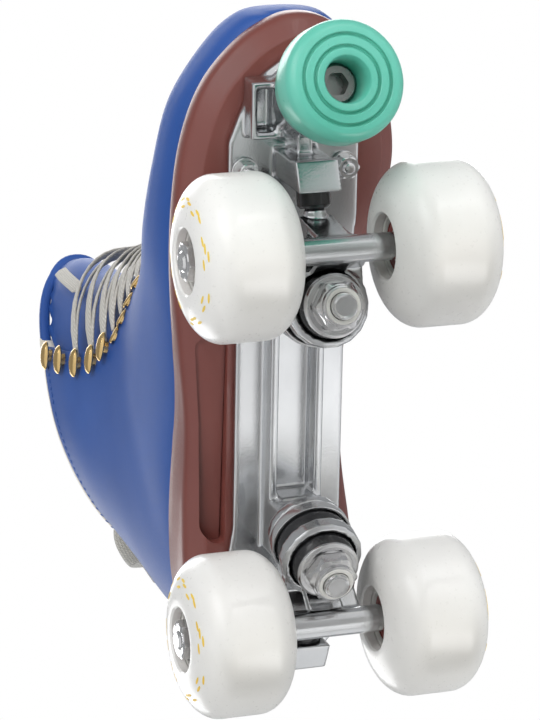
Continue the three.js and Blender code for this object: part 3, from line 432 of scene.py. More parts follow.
def bearing_profile():
    """Two races with a dished shield between them, on each face."""
    dish = [(9.9, 3.5), (9.6, 3.1), (9.2, 3.35), (8.0, 3.42), (6.8, 3.35), (6.4, 3.1), (6.2, 3.5)]
    ring = [(11, 3.1), (10.7, 3.5)]
    face = ring + dish + [(4.6, 3.5), (4.2, 3.1)]
    return face + [(r, -z) for r, z in reversed(face)]


hub_profile = eased([(14.8, -16), (14.8, 16), (11.15, 16), (11.15, 7.7), (9.8, 7.7), (9.8, -7.7),
                     (11.15, -7.7), (11.15, -16)], 0.5)
along_axle = Matrix.Rotation(math.radians(-90), 4, "X")
for end, heading in (("front", 1), ("rear", -1)):
    for side_name, side in (("left", 1), ("right", -1)):
        corner_name = f"{end}_{side_name}"
        wheel = f"{corner_name}_wheel"
        tyre_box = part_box(f"{corner_name}_tyre")
        centre = (tyre_box[0] + tyre_box[1]) / 2 / METRE
        hub_at = Matrix.Translation(centre)
        hang(f"{wheel}_urethane", turned(tyre_profile(), hub_at @ along_axle, 160),
                    "white_urethane", wheel, [f"{corner_name}_tyre"])
        hang(f"{wheel}_core", turned(hub_profile, hub_at @ along_axle),
             "hub_nylon", wheel, [f"{corner_name}_hub"])
        for where, out in (("outer", 11.5), ("inner", -11.5)):
            spot = hub_at @ Matrix.Translation((0, side * out, 0)) @ along_axle
            bearing = hang(f"{wheel}_{where}_race", turned(bearing_profile(), spot),
                           "bright_steel", wheel, [f"{corner_name}_{where}_bearing"])
            bearing.data.materials.append(finishes["red_shield"])
            for face in bearing.data.polygons:
                middle_of = face.center / METRE - spot.translation
                reach = math.hypot(middle_of.x, middle_of.z)
                if 6.3 < reach < 9.75 and abs(face.normal.y) > 0.5:
                    face.material_index = 1
print("four wheels")

# %% [markdown]
# ## The kingpin stack
# A truck tilts on rubber. From the plate outwards come a cupped washer, a firm upper cushion,
# the ring of the cast hanger, a lower cushion, a dished washer and a locking nut, all on one
# kingpin. They stay with the plate while the hanger rocks between them.

# %% Stack profiles, with Z up the kingpin
bore = 5.4
upper_cushion = eased([(bore, -3.3), (13.4, -3.3), (14.5, 1.5), (14.4, 6.3), (bore, 6.3)], 1.2, 4)
lower_cushion = eased([(bore, -14.3), (11.2, -14.3), (12.5, -10.5), (12.4, -6.7), (bore, -6.7)],
                      1.0, 4)
cup_washer = eased([(bore, 6.6), (14.9, 6.6), (14.9, 3.0), (16.0, 3.0), (16.0, 7.2), (15.0, 8.0),
                    (bore, 8.0)], 0.4)
dished_washer = eased([(bore, -16.6), (8.0, -16.6), (9.2, -16.2), (11.2, -16.6), (12.1, -15.8),
                       (12.1, -14.6), (bore, -14.6)], 0.35)
lock_nut = [(5.3, -24.6), (5.6, -24.9), (7.0, -24.9), (7.6, -24.5), (7.8, -23.0), (8.3, -22.7, 17),
            (9.6, -21.9, 17), (9.75, -20.5, 17), (9.75, -18.0, 17), (9.4, -17.1, 17),
            (8.8, -16.9, 17), (5.3, -16.9)]
kingpin = [(0, -26.4), (3.6, -26.5), (4.4, -27.0), (4.9, -26.7), (5.1, -26.0), (5.1, 20.6),
           (4.4, 21.3), (0, 21.3)]


def grooved_thread(profile, low, high, pitch=1.25, depth=0.35):
    """Adds thread grooves to the outer wall of a bolt, between two heights."""
    radius = max(p[0] for p in profile)
    turns = []
    height = low
    while height + pitch < high:
        turns += [(radius, height), (radius - depth, height + pitch / 2)]
        height += pitch
    split = next(i for i, p in enumerate(profile) if p[1] >= low and p[0] == radius)
    return profile[:split] + turns + profile[split:]


kingpin_threaded = grooved_thread(kingpin, -26.0, -14.0)
cup = eased([(0, 49), (5.4, 49), (6.4, 48), (6.4, 37.2), (5.2, 36.0), (5.1, 36.0), (4.3, 37.0),
             (4.3, 45.3), (0, 45.3)], 0.3)
along_pivot = Matrix.Rotation(math.radians(90), 4, "Y")
held_by = {"upper_cushion": 6.3, "lower_cushion": -14.3}
for end, heading in (("front", 1), ("rear", -1)):
    place = stack_place(heading)
    rows = [
        ("upper_cushion", upper_cushion, "black_cushion", "cushion_rubber", place),
        ("lower_cushion", lower_cushion, "black_cushion", "cushion_rubber", place),
        ("upper_washer", cup_washer, "bright_steel", "steel", place),
        ("lower_washer", dished_washer, "bright_steel", "steel", place),
        ("kingpin_nut", lock_nut, "bright_steel", "steel", place),
        ("kingpin", kingpin_threaded, "bright_steel", "steel", place),
        ("pivot_cup", cup, "black_cushion", "cushion_rubber", place @ along_pivot),
    ]
    for node, profile, look, slot, spot in rows:
        made = hang(f"{end}_{node}_turned", turned(profile, spot), look, "root", [f"{end}_{node}"],
                    30)
        if node in held_by:
            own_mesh(made)
    insert = eased([(5.2, -24.7), (5.3, -25.1), (6.7, -25.1), (6.9, -24.7)], 0.1)
    hang(f"{end}_nut_insert", turned(insert, place), "hub_nylon", "root")
print("two kingpin stacks")

# %% [markdown]
# ## Axles and axle nuts
# A plain steel bar runs through the hanger tube, threaded at its ends for a hexagon nut that
# holds the wheel. The nut's corners are chamfered, as a real one's are, by keeping the smaller
# of a hexagon and a circle at each height.

# %% Axles and their nuts
axle_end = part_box("front_axle")[1].y / METRE
print("axle end", round(axle_end, 2))
for end, heading in (("front", 1), ("rear", -1)):
    spot = Matrix.Translation((slide + heading * axle_x, 0, axle_height)) @ along_axle
    bar = [(0, -axle_end), (3.2, -axle_end), (4.0, 0.8 - axle_end), (4.0, axle_end - 0.8),
           (3.2, axle_end), (0, axle_end)]
    hang(f"{end}_axle_bar", turned(bar, spot, 64), "bright_steel", f"{end}_truck",
         [f"{end}_axle"])
    for side_name, side in (("left", 1), ("right", -1)):
        low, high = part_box(f"{end}_{side_name}_axle_nut")
        near, far = sorted((abs(low.y) / METRE, abs(high.y) / METRE))
        nut = [(4.15, near), (6.3, near, 13), (7.4, near + 0.5, 13), (7.5, near + 1.2, 13),
               (7.5, far - 1.2, 13), (7.2, far - 0.4, 13), (6.2, far, 13), (4.15, far)]
        flip = Matrix.Rotation(math.radians(-90 * side), 4, "X")
        at = Matrix.Translation((slide + heading * axle_x, 0, axle_height)) @ flip
        hang(f"{end}_{side_name}_nut_hex", turned(nut, at), "bright_steel", f"{end}_truck",
             [f"{end}_{side_name}_axle_nut"], 25)
print("axles and nuts")

# %% [markdown]
# ## Cast parts
# The plate and the two hangers are die cast: their corners are soft, their faces slightly
# uneven, and the fillets run into each other. The exact solids carry the right sizes but hard
# corners, so a copy is rebuilt in small even cells and relaxed, which eases every corner.

# %% Casting a solid
def cast(name, node, cell, passes, body, extra=(), look="cast_metal"):
    """Rebuilds a copy of a solid in cells of so many millimetres, then relaxes it."""
    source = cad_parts[node]
    work = bmesh.new()
    work.from_mesh(source.data)
    bmesh.ops.remove_doubles(work, verts=work.verts, dist=1e-6)
    mesh = bpy.data.meshes.new(name)
    for more in extra:
        work.from_mesh(more)
    work.to_mesh(mesh)
    work.free()
    rough = bpy.data.objects.new("rough_casting", mesh)
    bpy.context.scene.collection.objects.link(rough)
    cells = rough.modifiers.new("cells", "REMESH")
    cells.mode, cells.voxel_size = "VOXEL", cell * METRE
    relax = rough.modifiers.new("relax", "SMOOTH")
    relax.factor, relax.iterations = 0.5, passes
    dg = bpy.context.evaluated_depsgraph_get()
    made = bpy.data.meshes.new_from_object(rough.evaluated_get(dg))
    bpy.data.objects.remove(rough)
    print(name, len(made.polygons), "faces")
    return hang(name, made, look, body, [node], 180)


def wall(points, low, high):
    """A closed slab from a plan outline between two heights."""
    return lofted([[(x, y, low) for x, y in points], [(x, y, high) for x, y in points]])


def rim_extras():
    """The raised lip round each pocket of the toe block."""
    out = []
    for side in (1, -1):
        x0, x1, y0, y1, t = 108.2, 126.8, side * 10.2, side * 19.2, 1.3
        for a, b, c, d in ((x0 - t, x0, y0, y1), (x1, x1 + t, y0, y1),
                           (x0 - t, x1 + t, y0 - side * t, y0),
                           (x0 - t, x1 + t, y1, y1 + side * t)):
            out.append(wall([(a, c), (b, c), (b, d), (a, d)], 68.6, 72))
    return out


cast("plate_casting", "plate", 0.75, 3, "root", rim_extras())
for end in ("front", "rear"):
    cast(f"{end}_hanger_casting", f"{end}_hanger", 0.5, 5, f"{end}_truck")

# %% [markdown]
# ## Toe stop
# A moulded rubber stop on a threaded stem, held by a big hexagon nut against the plate. Its
# face has two moulded rings that grip the ground, and a deep mouth where the key goes.

# %% Toe stop, stem and jam nut
stop = [(7.8, 13), (7.9, 12.9), (8.0, 6), (8.4, 1.2), (9.0, 0.2), (9.4, 0)]
for radius in (12.2, 16.6):
    stop += [(radius - 0.95, 0), (radius - 0.7, 0.2), (radius - 0.55, 1.3), (radius, 1.6),
             (radius + 0.55, 1.3), (radius + 0.7, 0.2), (radius + 0.95, 0)]
stop += [(19.2, 0), (19.9, 0.15), (21.6, 1.6), (22.3, 3.0), (22.5, 4.6), (22.5, 13.2),
         (22.3, 14.4), (21.5, 16.2), (20.0, 20), (19.1, 25.6), (18.6, 27.2), (17.8, 28), (7.8, 28)]
hang("toe_stop_moulding", turned(stop, stop_place, 160), "mint_rubber", "toe_stop_unit",
     ["toe_stop"], 30)
stem = [(0, 16.6), (4.0, 16.6, 8), (4.4, 11.7, 8), (6.6, 11.5), (7.6, 12.5), (7.6, 50.6),
        (6.6, 51.6), (0, 51.6)]
hang("toe_stop_screw", turned(grooved_thread(stem, 27.6, 50.0, 1.5, 0.4), stop_place),
     "dark_steel", "toe_stop_unit", ["toe_stop_stem"], 30)
jam = [(7.8, 29.2), (11.4, 29.0, 24), (13.3, 29.5, 24), (13.6, 30.6, 24), (13.6, 33.0, 24),
       (13.3, 34.0, 24), (11.4, 34.5, 24), (7.8, 34.4)]
hang("jam_nut_hex", turned(jam, stop_place), "bright_steel", "root", ["toe_stop_jam_nut"],
     25)
print("toe stop")

# %% [markdown]
# ## The last
# A boot is drawn over a last, the solid foot form. Sections run from the toe, over the
# instep and up the shaft, each between a point on the top line and a point on the sole and
# heel line, with a half width, a sideways shift and a squareness towards the sole. A smooth
# curve through the sections gives every point of the boot.

# %% Sections of the last and the point at any place on it
SECTIONS = np.array([
    [148.5, 15, 148.5, 4, 7, 2.5, 3], [145.5, 27, 145.5, 0.8, 17, 3, 3.2],
    [134, 37, 134, 0, 27.5, 3, 3.2], [112, 43, 112, 0, 38.5, 1, 3.2],
    [86, 51, 82, 0, 42.5, 0, 3.2], [64, 63, 48, 0, 41, -2.5, 3.2],
    [46, 79, 8, 3.5, 37, -3.5, 3.2], [33, 97, -36, 11, 35.5, -3, 3],
    [26, 112, -76, 13, 35, -2, 3], [21, 125, -100, 15.5, 34.5, -1.5, 2.8],
    [16.5, 137, -112, 27, 34, -2.5, 2.6], [12, 149, -116, 46, 32.5, -5, 2.4],
    [4, 171, -113, 72, 31, -8.5, 2.1], [-4, 193, -109, 98, 30, -12, 1.9],
    [-11, 214, -107, 121, 29.4, -14, 1.8], [-21, 238, -107, 146, 30, -16, 1.7]])
BOOT_BASE = 93.3
COLLAR = 14 / 15
THROAT = 0.314
EYELET_ROWS = (0.336, 0.382, 0.431, 0.487, 0.535, 0.58, 0.62, 0.66)
HOOK_ROWS = (0.705, 0.755, 0.805, 0.855, 0.905)
LACE_ROWS = EYELET_ROWS + HOOK_ROWS[:3]


def smooth_row(rows, at):
    """A smooth curve through the rows; at runs from 0 to 1."""
    spot = min(max(at, 0), 1) * (len(rows) - 1)
    i = min(int(spot), len(rows) - 2)
    w = spot - i
    p1, p2 = rows[i], rows[i + 1]
    p0 = rows[i - 1] if i > 0 else 2 * p1 - p2
    p3 = rows[i + 2] if i + 2 < len(rows) else 2 * p2 - p1
    t0, t1 = (p2 - p0) / 2, (p3 - p1) / 2
    cubic, square = 2 * p1 - 2 * p2 + t0 + t1, 3 * p2 - 3 * p1 - 2 * t0 - t1
    return cubic * w**3 + square * w**2 + t0 * w + p1


def last_point(at, angle, inset):
    """A point of the last; angle 0 is the instep line, and it grows towards the inner side."""
    row = smooth_row(SECTIONS, at)
    top = Vector((row[0], 0, row[1] + BOOT_BASE))
    span = Vector((row[2], 0, row[3] + BOOT_BASE)) - top
    half = span.length / 2
    c, s = math.cos(angle), math.sin(angle)
    power = 2.3 if c > 0 else row[6]
    reach = max(half - inset, 0.5) * math.copysign(abs(c) ** (2 / power), c)
    out = top + span.normalized() * (half - reach)
    out.y = row[5] + max(row[4] - inset, 0.5) * math.copysign(abs(s) ** (2 / power), s)
    return out


def ease(value, low, high):
    """0 below low, 1 above high, and a smooth step between them."""
    t = min(max((value - low) / (high - low), 0), 1)
    return t * t * (3 - 2 * t)


def throat_angle(at):
    return math.radians(12 + 53 * ease(at, THROAT, 0.83))


def edge_angle(at):
    """The throat's edge, closed below the throat and rounded at its toe end."""
    return throat_angle(at) * math.sqrt(ease(at, THROAT - 0.012, THROAT + 0.02))


print("instep at the throat", [round(v, 1) for v in last_point(THROAT, 0, 0)])

# %% [markdown]
# ## Upper and lining
# The upper is one smooth sheet of microfibre pulled over the last, open down the front. It is
# laid out as a grid between the throat's two edges, closed at the toe, and given its thickness
# inwards, so that the outside keeps the measured size. The lining is the same sheet, smaller.

# %% A sheet over the last
def last_sheet(inset, start, end, rows, columns):
    """An open sheet at some depth under the last's surface, closed over the toe."""
    points, faces = [], []
    for i in range(rows + 1):
        at = start + (end - start) * i / rows
        edge = edge_angle(at)
        for j in range(columns + 1):
            points.append(last_point(at, edge + (2 * math.pi - 2 * edge) * j / columns, inset))
    for i in range(rows):
        for j in range(columns):
            a = i * (columns + 1) + j
            faces.append((a, a + 1, a + columns + 2, a + columns + 1))
    tip = sum((points[j] for j in range(columns)), Vector()) / columns + Vector((0.3, 0, 0))
    points.append(tip)
    faces += [(len(points) - 1, j + 1, j) for j in range(columns)]
    mesh = tidy([tuple(p) for p in points], faces, ROW, 5e-3)
    inside = sum((v.co for v in mesh.vertices), Vector()) / len(mesh.vertices)
    if sum((f.center - inside).dot(f.normal) * f.area for f in mesh.polygons) < 0:
        mesh.flip_normals()
    return mesh


def thicken(piece, thickness, rim):
    """A wall grown inwards, with its free edge rolled over."""
    wall_of = piece.modifiers.new("wall", "SOLIDIFY")
    wall_of.thickness, wall_of.offset = thickness * METRE, -1
    wall_of.use_quality_normals = True
    roll = piece.modifiers.new("rolled_edge", "BEVEL")
    roll.width, roll.segments = rim * METRE, 3
    roll.limit_method, roll.angle_limit = "ANGLE", math.radians(60)


upper = hang("boot_upper", last_sheet(0, 0, COLLAR, 150, 120), "blue_microfibre", "root",
             ["upper"], 60)
thicken(upper, 2.1, 0.55)
lining = hang("boot_lining", last_sheet(2.5, 0.035, COLLAR + 0.004, 110, 96), "cream_lining",
              "root", ["lining"], 60)
thicken(lining, 2.4, 0.6)
cast("footbed", "insole", 1.4, 4, "root", look="cream_lining")

# %% [markdown]
# ## Tongue and collar
# Both are padded: foam under microfibre, bound at the edge with cream tape. The cloth solver
# blows each one up a little from a slightly smaller start, and how far a point may move is
# capped, because the laces and the shaft leave only a small gap.

# %% Padding by cloth
def plump(mesh, cell, cap, pressure=4.0):
    """Remeshes a closed mesh, swells it as cloth and returns the swollen mesh."""
    pad = bpy.data.objects.new("pad", mesh)
    bpy.context.scene.collection.objects.link(pad)
    cells = pad.modifiers.new("cells", "REMESH")
    cells.mode, cells.voxel_size = "VOXEL", cell * METRE
    dg = bpy.context.evaluated_depsgraph_get()
    start = bpy.data.meshes.new_from_object(pad.evaluated_get(dg))
    pad.modifiers.clear()
    pad.data = start
    cloth = pad.modifiers.new("cloth", "CLOTH")
    cloth.settings.use_pressure = True
    cloth.settings.uniform_pressure_force = pressure
    cloth.settings.effector_weights.gravity = 0
    for frame_number in range(1, 21):
        bpy.context.scene.frame_set(frame_number)
    dg = bpy.context.evaluated_depsgraph_get()
    swollen = bpy.data.meshes.new_from_object(pad.evaluated_get(dg))
    bpy.context.scene.frame_set(1)
    for vertex, moved in zip(start.vertices, swollen.vertices):
        step = moved.co - vertex.co
        if step.length > cap * METRE:
            step *= cap * METRE / step.length
        vertex.co += step
    pad.modifiers.clear()
    finer = pad.modifiers.new("finer", "SUBSURF")
    finer.levels = finer.render_levels = 1
    dg = bpy.context.evaluated_depsgraph_get()
    out = bpy.data.meshes.new_from_object(pad.evaluated_get(dg))
    bpy.data.objects.remove(pad)
    print("padded", len(out.polygons), "faces")
    return out


TONGUE_DEPTH = 7.9  # how far the middle of the tongue lies inside the last's surface


def tongue_point(at, share, inset):
    """A point of the tongue; share runs from -1 to 1 across it. Its top leans forward."""
    angle = share * math.radians(81.8)
    free = max(0.0, 1 - (abs(angle) / throat_angle(at)) ** 2)
    if at > COLLAR:
        free = max(free, (at - COLLAR) / (1 - COLLAR))
    return last_point(at, angle, inset) + Vector((15 * free * ease(at, 0.8, 1), 0, 0))


def tongue_mesh():
    """A flat pad that follows the last, thinner towards its edges and its top."""
    rows, columns = 70, 24
    rings = []
    for i in range(rows + 1):
        at = 0.27 + 0.722 * i / rows
        end = math.sqrt(max(0.02, 1 - ((i / rows) ** 14)))
        ring = []
        for face in (1, -1):
            for j in range(columns + 1):
                share = (j / columns * 2 - 1) * face
                thick = 2.05 * math.sqrt(max(0.03, 1 - abs(share) ** 5)) * end
                place = share * 0.97 * (0.9 + 0.1 * end)
                ring.append(tongue_point(at, place, TONGUE_DEPTH - face * thick))
        rings.append(ring)
    return lofted(rings)


tongue = hang("tongue_pad", plump(tongue_mesh(), 2.2, 0.5), "blue_microfibre", "root",
              ["tongue"], 60)


# %% [markdown]
# ## Sweeping a strip
# Tape, lace and webbing are flat. A strip is a flattened ring carried along a path and kept
# level with the surface beneath it, with its own map in millimetres for the weave.

# %% A strip along a path
def strip(paths, width, thick, closed=False, columns=14):
    """paths: lists of (point, surface normal), in millimetres. One closed mesh with a map."""
    points, faces, where = [], [], []
    for path in paths:
        base, count, run = len(points), len(path), 0.0
        for k, (p, normal) in enumerate(path):
            before, after = path[max(k - 1, 0)][0], path[min(k + 1, count - 1)][0]
            along = (after - before).normalized()
            side = along.cross(normal).normalized()
            over = side.cross(along).normalized()
            if k:
                run += (p - path[k - 1][0]).length
            taper = 1.0 if closed else min(1.0, 0.25 + 0.75 * min(k, count - 1 - k) / 2)
            for j in range(columns):
                turn = 2 * math.pi * j / columns
                c, s = math.cos(turn), math.sin(turn)
                x = math.copysign(abs(c) ** 0.6, c) * width / 2 * taper
                y = math.copysign(abs(s) ** 0.8, s) * thick / 2
                points.append(tuple(p + side * x + over * y))
                where.append((x, run))
        for k in range(count - 1):
            for j in range(columns):
                a, b = base + k * columns + j, base + k * columns + (j + 1) % columns
                faces.append((a, b, b + columns, a + columns))
        faces.append(tuple(base + j for j in range(columns))[::-1])
        faces.append(tuple(base + (count - 1) * columns + j for j in range(columns)))
    mesh = bpy.data.meshes.new("strip")
    matrix = ROW
    mesh.from_pydata([tuple((matrix @ Vector(p)) * METRE) for p in points], [], faces)
    layer = mesh.uv_layers.new(name="strip")
    for loop in mesh.loops:
        layer.data[loop.index].uv = where[loop.vertex_index]
    work = bmesh.new()
    work.from_mesh(mesh)
    bmesh.ops.recalc_face_normals(work, faces=work.faces)
    work.to_mesh(mesh)
    work.free()
    return mesh


def outward(at, angle):
    """The way out of the last at a place on it."""
    return (last_point(at, angle, -1) - last_point(at, angle, 1)).normalized()


edge_path = []
for k in range(101):
    t = k / 100
    if t < 0.3:
        at, share = 0.80 + 0.188 * t / 0.3, -1.0
    elif t < 0.7:
        at, share = 0.988, -1 + 2 * (t - 0.3) / 0.4
    else:
        at, share = 0.988 - 0.188 * (t - 0.7) / 0.3, 1.0
    corner = 1 - 0.04 * abs(share) ** 6
    edge_path.append((tongue_point(at, share * 0.96 * corner, TONGUE_DEPTH),
                      outward(at, share * math.radians(78))))
hang("tongue_binding", strip([edge_path[:32], edge_path[60:]], 8.0, 5.4), "cream_lining", "root",
     sharp=60)
hang("tongue_piping", strip([edge_path[28:64]], 4.2, 4.6), "blue_microfibre", "root",
     sharp=60)
rim = []
for k in range(121):
    angle = edge_angle(COLLAR) + (2 * math.pi - 2 * edge_angle(COLLAR)) * k / 120
    rim.append((last_point(COLLAR + 0.003, angle, 2.7), outward(COLLAR, angle)))
hang("collar_binding", strip([rim], 3.0, 5.2), "cream_lining", "root", sharp=60)


def collar_pad_mesh():
    """A soft roll inside the back of the collar, from one ankle to the other."""
    rows, columns = 60, 20
    low, high = math.radians(92), math.radians(268)
    rings = []
    for i in range(rows + 1):
        angle = low + (high - low) * i / rows
        end = math.sqrt(max(0.03, 1 - abs(2 * i / rows - 1) ** 6))
        turns = [2 * math.pi * j / columns for j in range(columns)]
        rings.append([last_point(COLLAR - 0.055 + 0.05 * math.sin(turn) * end, angle,
                                 7.4 + 2.2 * math.cos(turn) * end) for turn in turns])
    return lofted(rings)


collar_pad = hang("collar_pad", plump(collar_pad_mesh(), 2.0, 1.5), "cream_lining", "root",
                  sharp=60)

# %% [markdown]
# ## Laces
# A flat lace goes up the boot in crossings: through four eyelets a side low down, then round
# four hooks a side. Each run lies on the tongue and rises a little where it is free.

# %% Lace runs
def lace_spot(at, side, lift=0.0):
    """A place on the lacing and its way out; side is -1 and 1 at the throat's two edges."""
    over = 0.9 + lift + 3.0 * (1 - side**4)
    angle = side * (throat_angle(at) + math.radians(4))
    return last_point(at, angle, -over), outward(at, angle)


def lace_run(start, stop, from_side, to_side, lift=0.0, steps=22):
    out = []
    for k in range(steps + 1):
        t = k / steps
        side = from_side + (to_side - from_side) * t
        out.append(lace_spot(start + (stop - start) * t, side, lift * math.sin(math.pi * t)))
    return out


runs = [lace_run(LACE_ROWS[0], LACE_ROWS[0], -1, 1)]
for k in range(len(LACE_ROWS) - 1):
    runs.append(lace_run(LACE_ROWS[k], LACE_ROWS[k + 1], -1, 1, 1.6))
    runs.append(lace_run(LACE_ROWS[k], LACE_ROWS[k + 1], 1, -1, 0.2))
runs.append(lace_run(LACE_ROWS[-1], LACE_ROWS[-1], -1, 1, 2.0))


hang("lace_runs", strip(runs, 7.6, 1.3), "lace_weave", "root", ["lace"], 60)
loose_end = []
for k in range(25):
    t = k / 24
    rise = 0.6 + 1.2 * math.sin(math.pi * t)
    loose_end.append(lace_spot(0.805 + 0.12 * t, -0.55 + 0.25 * t, rise))
hang("lace_end", strip([loose_end], 6.0, 1.2), "lace_weave", "root", sharp=60)
print(len(runs), "lace runs")

# %% [markdown]
# ## Pull loop
# A ribbed webbing strap is sewn to the back of the collar and folded over into a loop that
# helps the foot in.

# %% Pull loop
high_row, low_row = smooth_row(SECTIONS, COLLAR), smooth_row(SECTIONS, COLLAR - 0.06)
loop_top = Vector((high_row[2], high_row[5], high_row[3] + BOOT_BASE))
lean = math.atan2(high_row[2] - low_row[2], high_row[3] - low_row[3])
guide = np.array([(-0.9, -24), (-0.9, -12), (-0.9, 0), (-0.9, 12), (-0.9, 24), (-1.5, 30),
                  (-4, 34.6), (-8, 34.6), (-11, 30), (-12.1, 20), (-11.2, 11), (-8, 4.5),
                  (-4.6, 0), (-2.8, -6), (-2.7, -14), (-2.7, -23)], float)
loop_path = []
for k in range(91):
    p = smooth_row(guide, k / 90)
    q = smooth_row(guide, min(1, k / 90 + 0.004))
    d = (q - p) if k < 90 else (p - smooth_row(guide, 0.99))
    turned_x = p[0] * math.cos(lean) + p[1] * math.sin(lean)
    turned_z = -p[0] * math.sin(lean) + p[1] * math.cos(lean)
    normal = Vector((-d[1], 0, d[0])).normalized()
    loop_path.append((loop_top + Vector((turned_x - 1.1, 0, turned_z - 6)), normal))
hang("pull_strap", strip([loop_path], 13, 1.7, closed=True), "loop_webbing", "root",
     ["pull_loop"], 60)
print("pull loop", len(loop_path), "stations")

# %% [markdown]
# ## Outsole
# The sole is one moulding: a flat base with a broad bevel, a wall that leans up to the boot,
# higher at the heel, and a deep pocket under the arch on the outer side.

# %% Outsole
SOLE_EDGE = np.array([
    [-114.5, 0], [-111, -17], [-99, -31], [-78, -37.5], [-45, -39], [-10, -38.8], [20, -41.5],
    [50, -44], [80, -43.4], [104, -40], [124, -32.3], [139, -19.5], [147, -7], [149.5, 3],
    [147, 15], [137, 29], [118, 39.5], [94, 43.6], [72, 39.5], [45, 31], [10, 25], [-25, 25.5],
    [-60, 30.5], [-88, 32.5], [-106, 20]], float)


def sole_curve(sides):
    """Points round the sole's edge and, at each, the way in."""
    ring = np.vstack([SOLE_EDGE[-2:], SOLE_EDGE, SOLE_EDGE[:3]])
    span, lead = len(ring) - 1, 2
    spots = [(lead + len(SOLE_EDGE) * k / sides) / span for k in range(sides)]
    here = np.array([smooth_row(ring, s) for s in spots])
    along = np.roll(here, -1, 0) - np.roll(here, 1, 0)
    along /= np.linalg.norm(along, axis=1)[:, None]
    return here, np.stack([-along[:, 1], along[:, 0]], 1)


def sole_top(x):
    """How high the sole's wall stands, from heel to forefoot."""
    return float(np.interp(x, [-52, -20, 8, 44], [108.9, 105.4, 99.4, 95.9]))


def outsole_mesh(sides=260):
    """Rings from the flat base up the bevel and the wall, then in under the boot."""
    here, inward = sole_curve(sides)
    base = 82.3
    layers = [(23.75, base), (16.05, base), (7.6, base), (6.9, base + 0.25), (5.9, base + 1.1),
              (2.2, base + 4.3), (0.8, base + 5.6), (0.15, base + 6.9), (0, base + 9)]
    rings = [[(*(p + n * pull), height) for p, n in zip(here, inward)] for pull, height in layers]
    for inset, drop in ((0.0, 0.9), (0.25, 0.25), (0.9, 0.0), (2.2, 0.0), (5, 0.3), (12, 1.6)):
        rings.append([(*(p + n * inset), max(sole_top(p[0]) - drop, base + 9.4))
                      for p, n in zip(here, inward)])
    return lofted(rings)


def arch_cutter():
    """The hollow under the arch, with rounded corners and a sloping roof."""
    plan = eased([(27, -37), (-8, -34.6), (-52, -34), (-57, -29), (-57, -24.2), (27, -24.2)], 5, 5)
    roof = np.interp([x for x, _ in plan], [-58, -50, 4, 28], [86, 94.3, 91.3, 83.3])
    return lofted([[(x, y, 80.0) for x, y in plan],
                   [(x, y, height) for (x, y), height in zip(plan, roof)]])


cutter = bpy.data.objects.new("cutter", arch_cutter())
bpy.context.scene.collection.objects.link(cutter)
blank = bpy.data.objects.new("blank", outsole_mesh())
bpy.context.scene.collection.objects.link(blank)
pocket = blank.modifiers.new("pocket", "BOOLEAN")
pocket.operation, pocket.object, pocket.solver = "DIFFERENCE", cutter, "EXACT"
soften = blank.modifiers.new("soften", "BEVEL")
soften.width, soften.segments = 0.7 * METRE, 3
soften.limit_method, soften.angle_limit = "ANGLE", math.radians(50)
sole_made = bpy.data.meshes.new_from_object(
    blank.evaluated_get(bpy.context.evaluated_depsgraph_get()))
bpy.data.objects.remove(blank)
bpy.data.objects.remove(cutter)
hang("outsole_moulding", sole_made, "sole_moulding", "root", ["outsole"], 30)
print("outsole", len(sole_made.polygons), "faces")

# %% [markdown]
# ## What repeats
# Hooks, eyelets, bolts, nuts and stitches are one shape put in many places. A small node tree
# takes a mesh of places and a shape, turns each copy by the place's own angles, makes the
# copies real and sets their finish. The result becomes a plain mesh.

# %% Places, and a tree that fills them
def repeat_tree():
    tree = bpy.data.node_groups.new("repeat_shape", "GeometryNodeTree")
    face = tree.interface
    face.new_socket("Places", in_out="INPUT", socket_type="NodeSocketGeometry")
    face.new_socket("Shape", in_out="INPUT", socket_type="NodeSocketObject")
    face.new_socket("Size", in_out="INPUT", socket_type="NodeSocketFloat")
    face.new_socket("Finish", in_out="INPUT", socket_type="NodeSocketMaterial")
    face.new_socket("Pieces", in_out="OUTPUT", socket_type="NodeSocketGeometry")
    add, link = tree.nodes.new, tree.links.new
    start, end = add("NodeGroupInput"), add("NodeGroupOutput")
    shape, fill = add("GeometryNodeObjectInfo"), add("GeometryNodeInstanceOnPoints")
    turn, angles = add("GeometryNodeInputNamedAttribute"), add("FunctionNodeEulerToRotation")
    real, paint = add("GeometryNodeRealizeInstances"), add("GeometryNodeSetMaterial")
    turn.data_type = "FLOAT_VECTOR"
    turn.inputs["Name"].default_value = "turn"
    link(start.outputs["Places"], fill.inputs["Points"])
    link(start.outputs["Shape"], shape.inputs["Object"])
    link(shape.outputs["Geometry"], fill.inputs["Instance"])
    link(turn.outputs["Attribute"], angles.inputs["Euler"])
    link(angles.outputs["Rotation"], fill.inputs["Rotation"])
    link(start.outputs["Size"], fill.inputs["Scale"])
    link(fill.outputs["Instances"], real.inputs["Geometry"])
    link(real.outputs["Geometry"], paint.inputs["Geometry"])
    link(start.outputs["Finish"], paint.inputs["Material"])
    link(paint.outputs["Geometry"], end.inputs["Pieces"])
    return tree


REPEAT = repeat_tree()


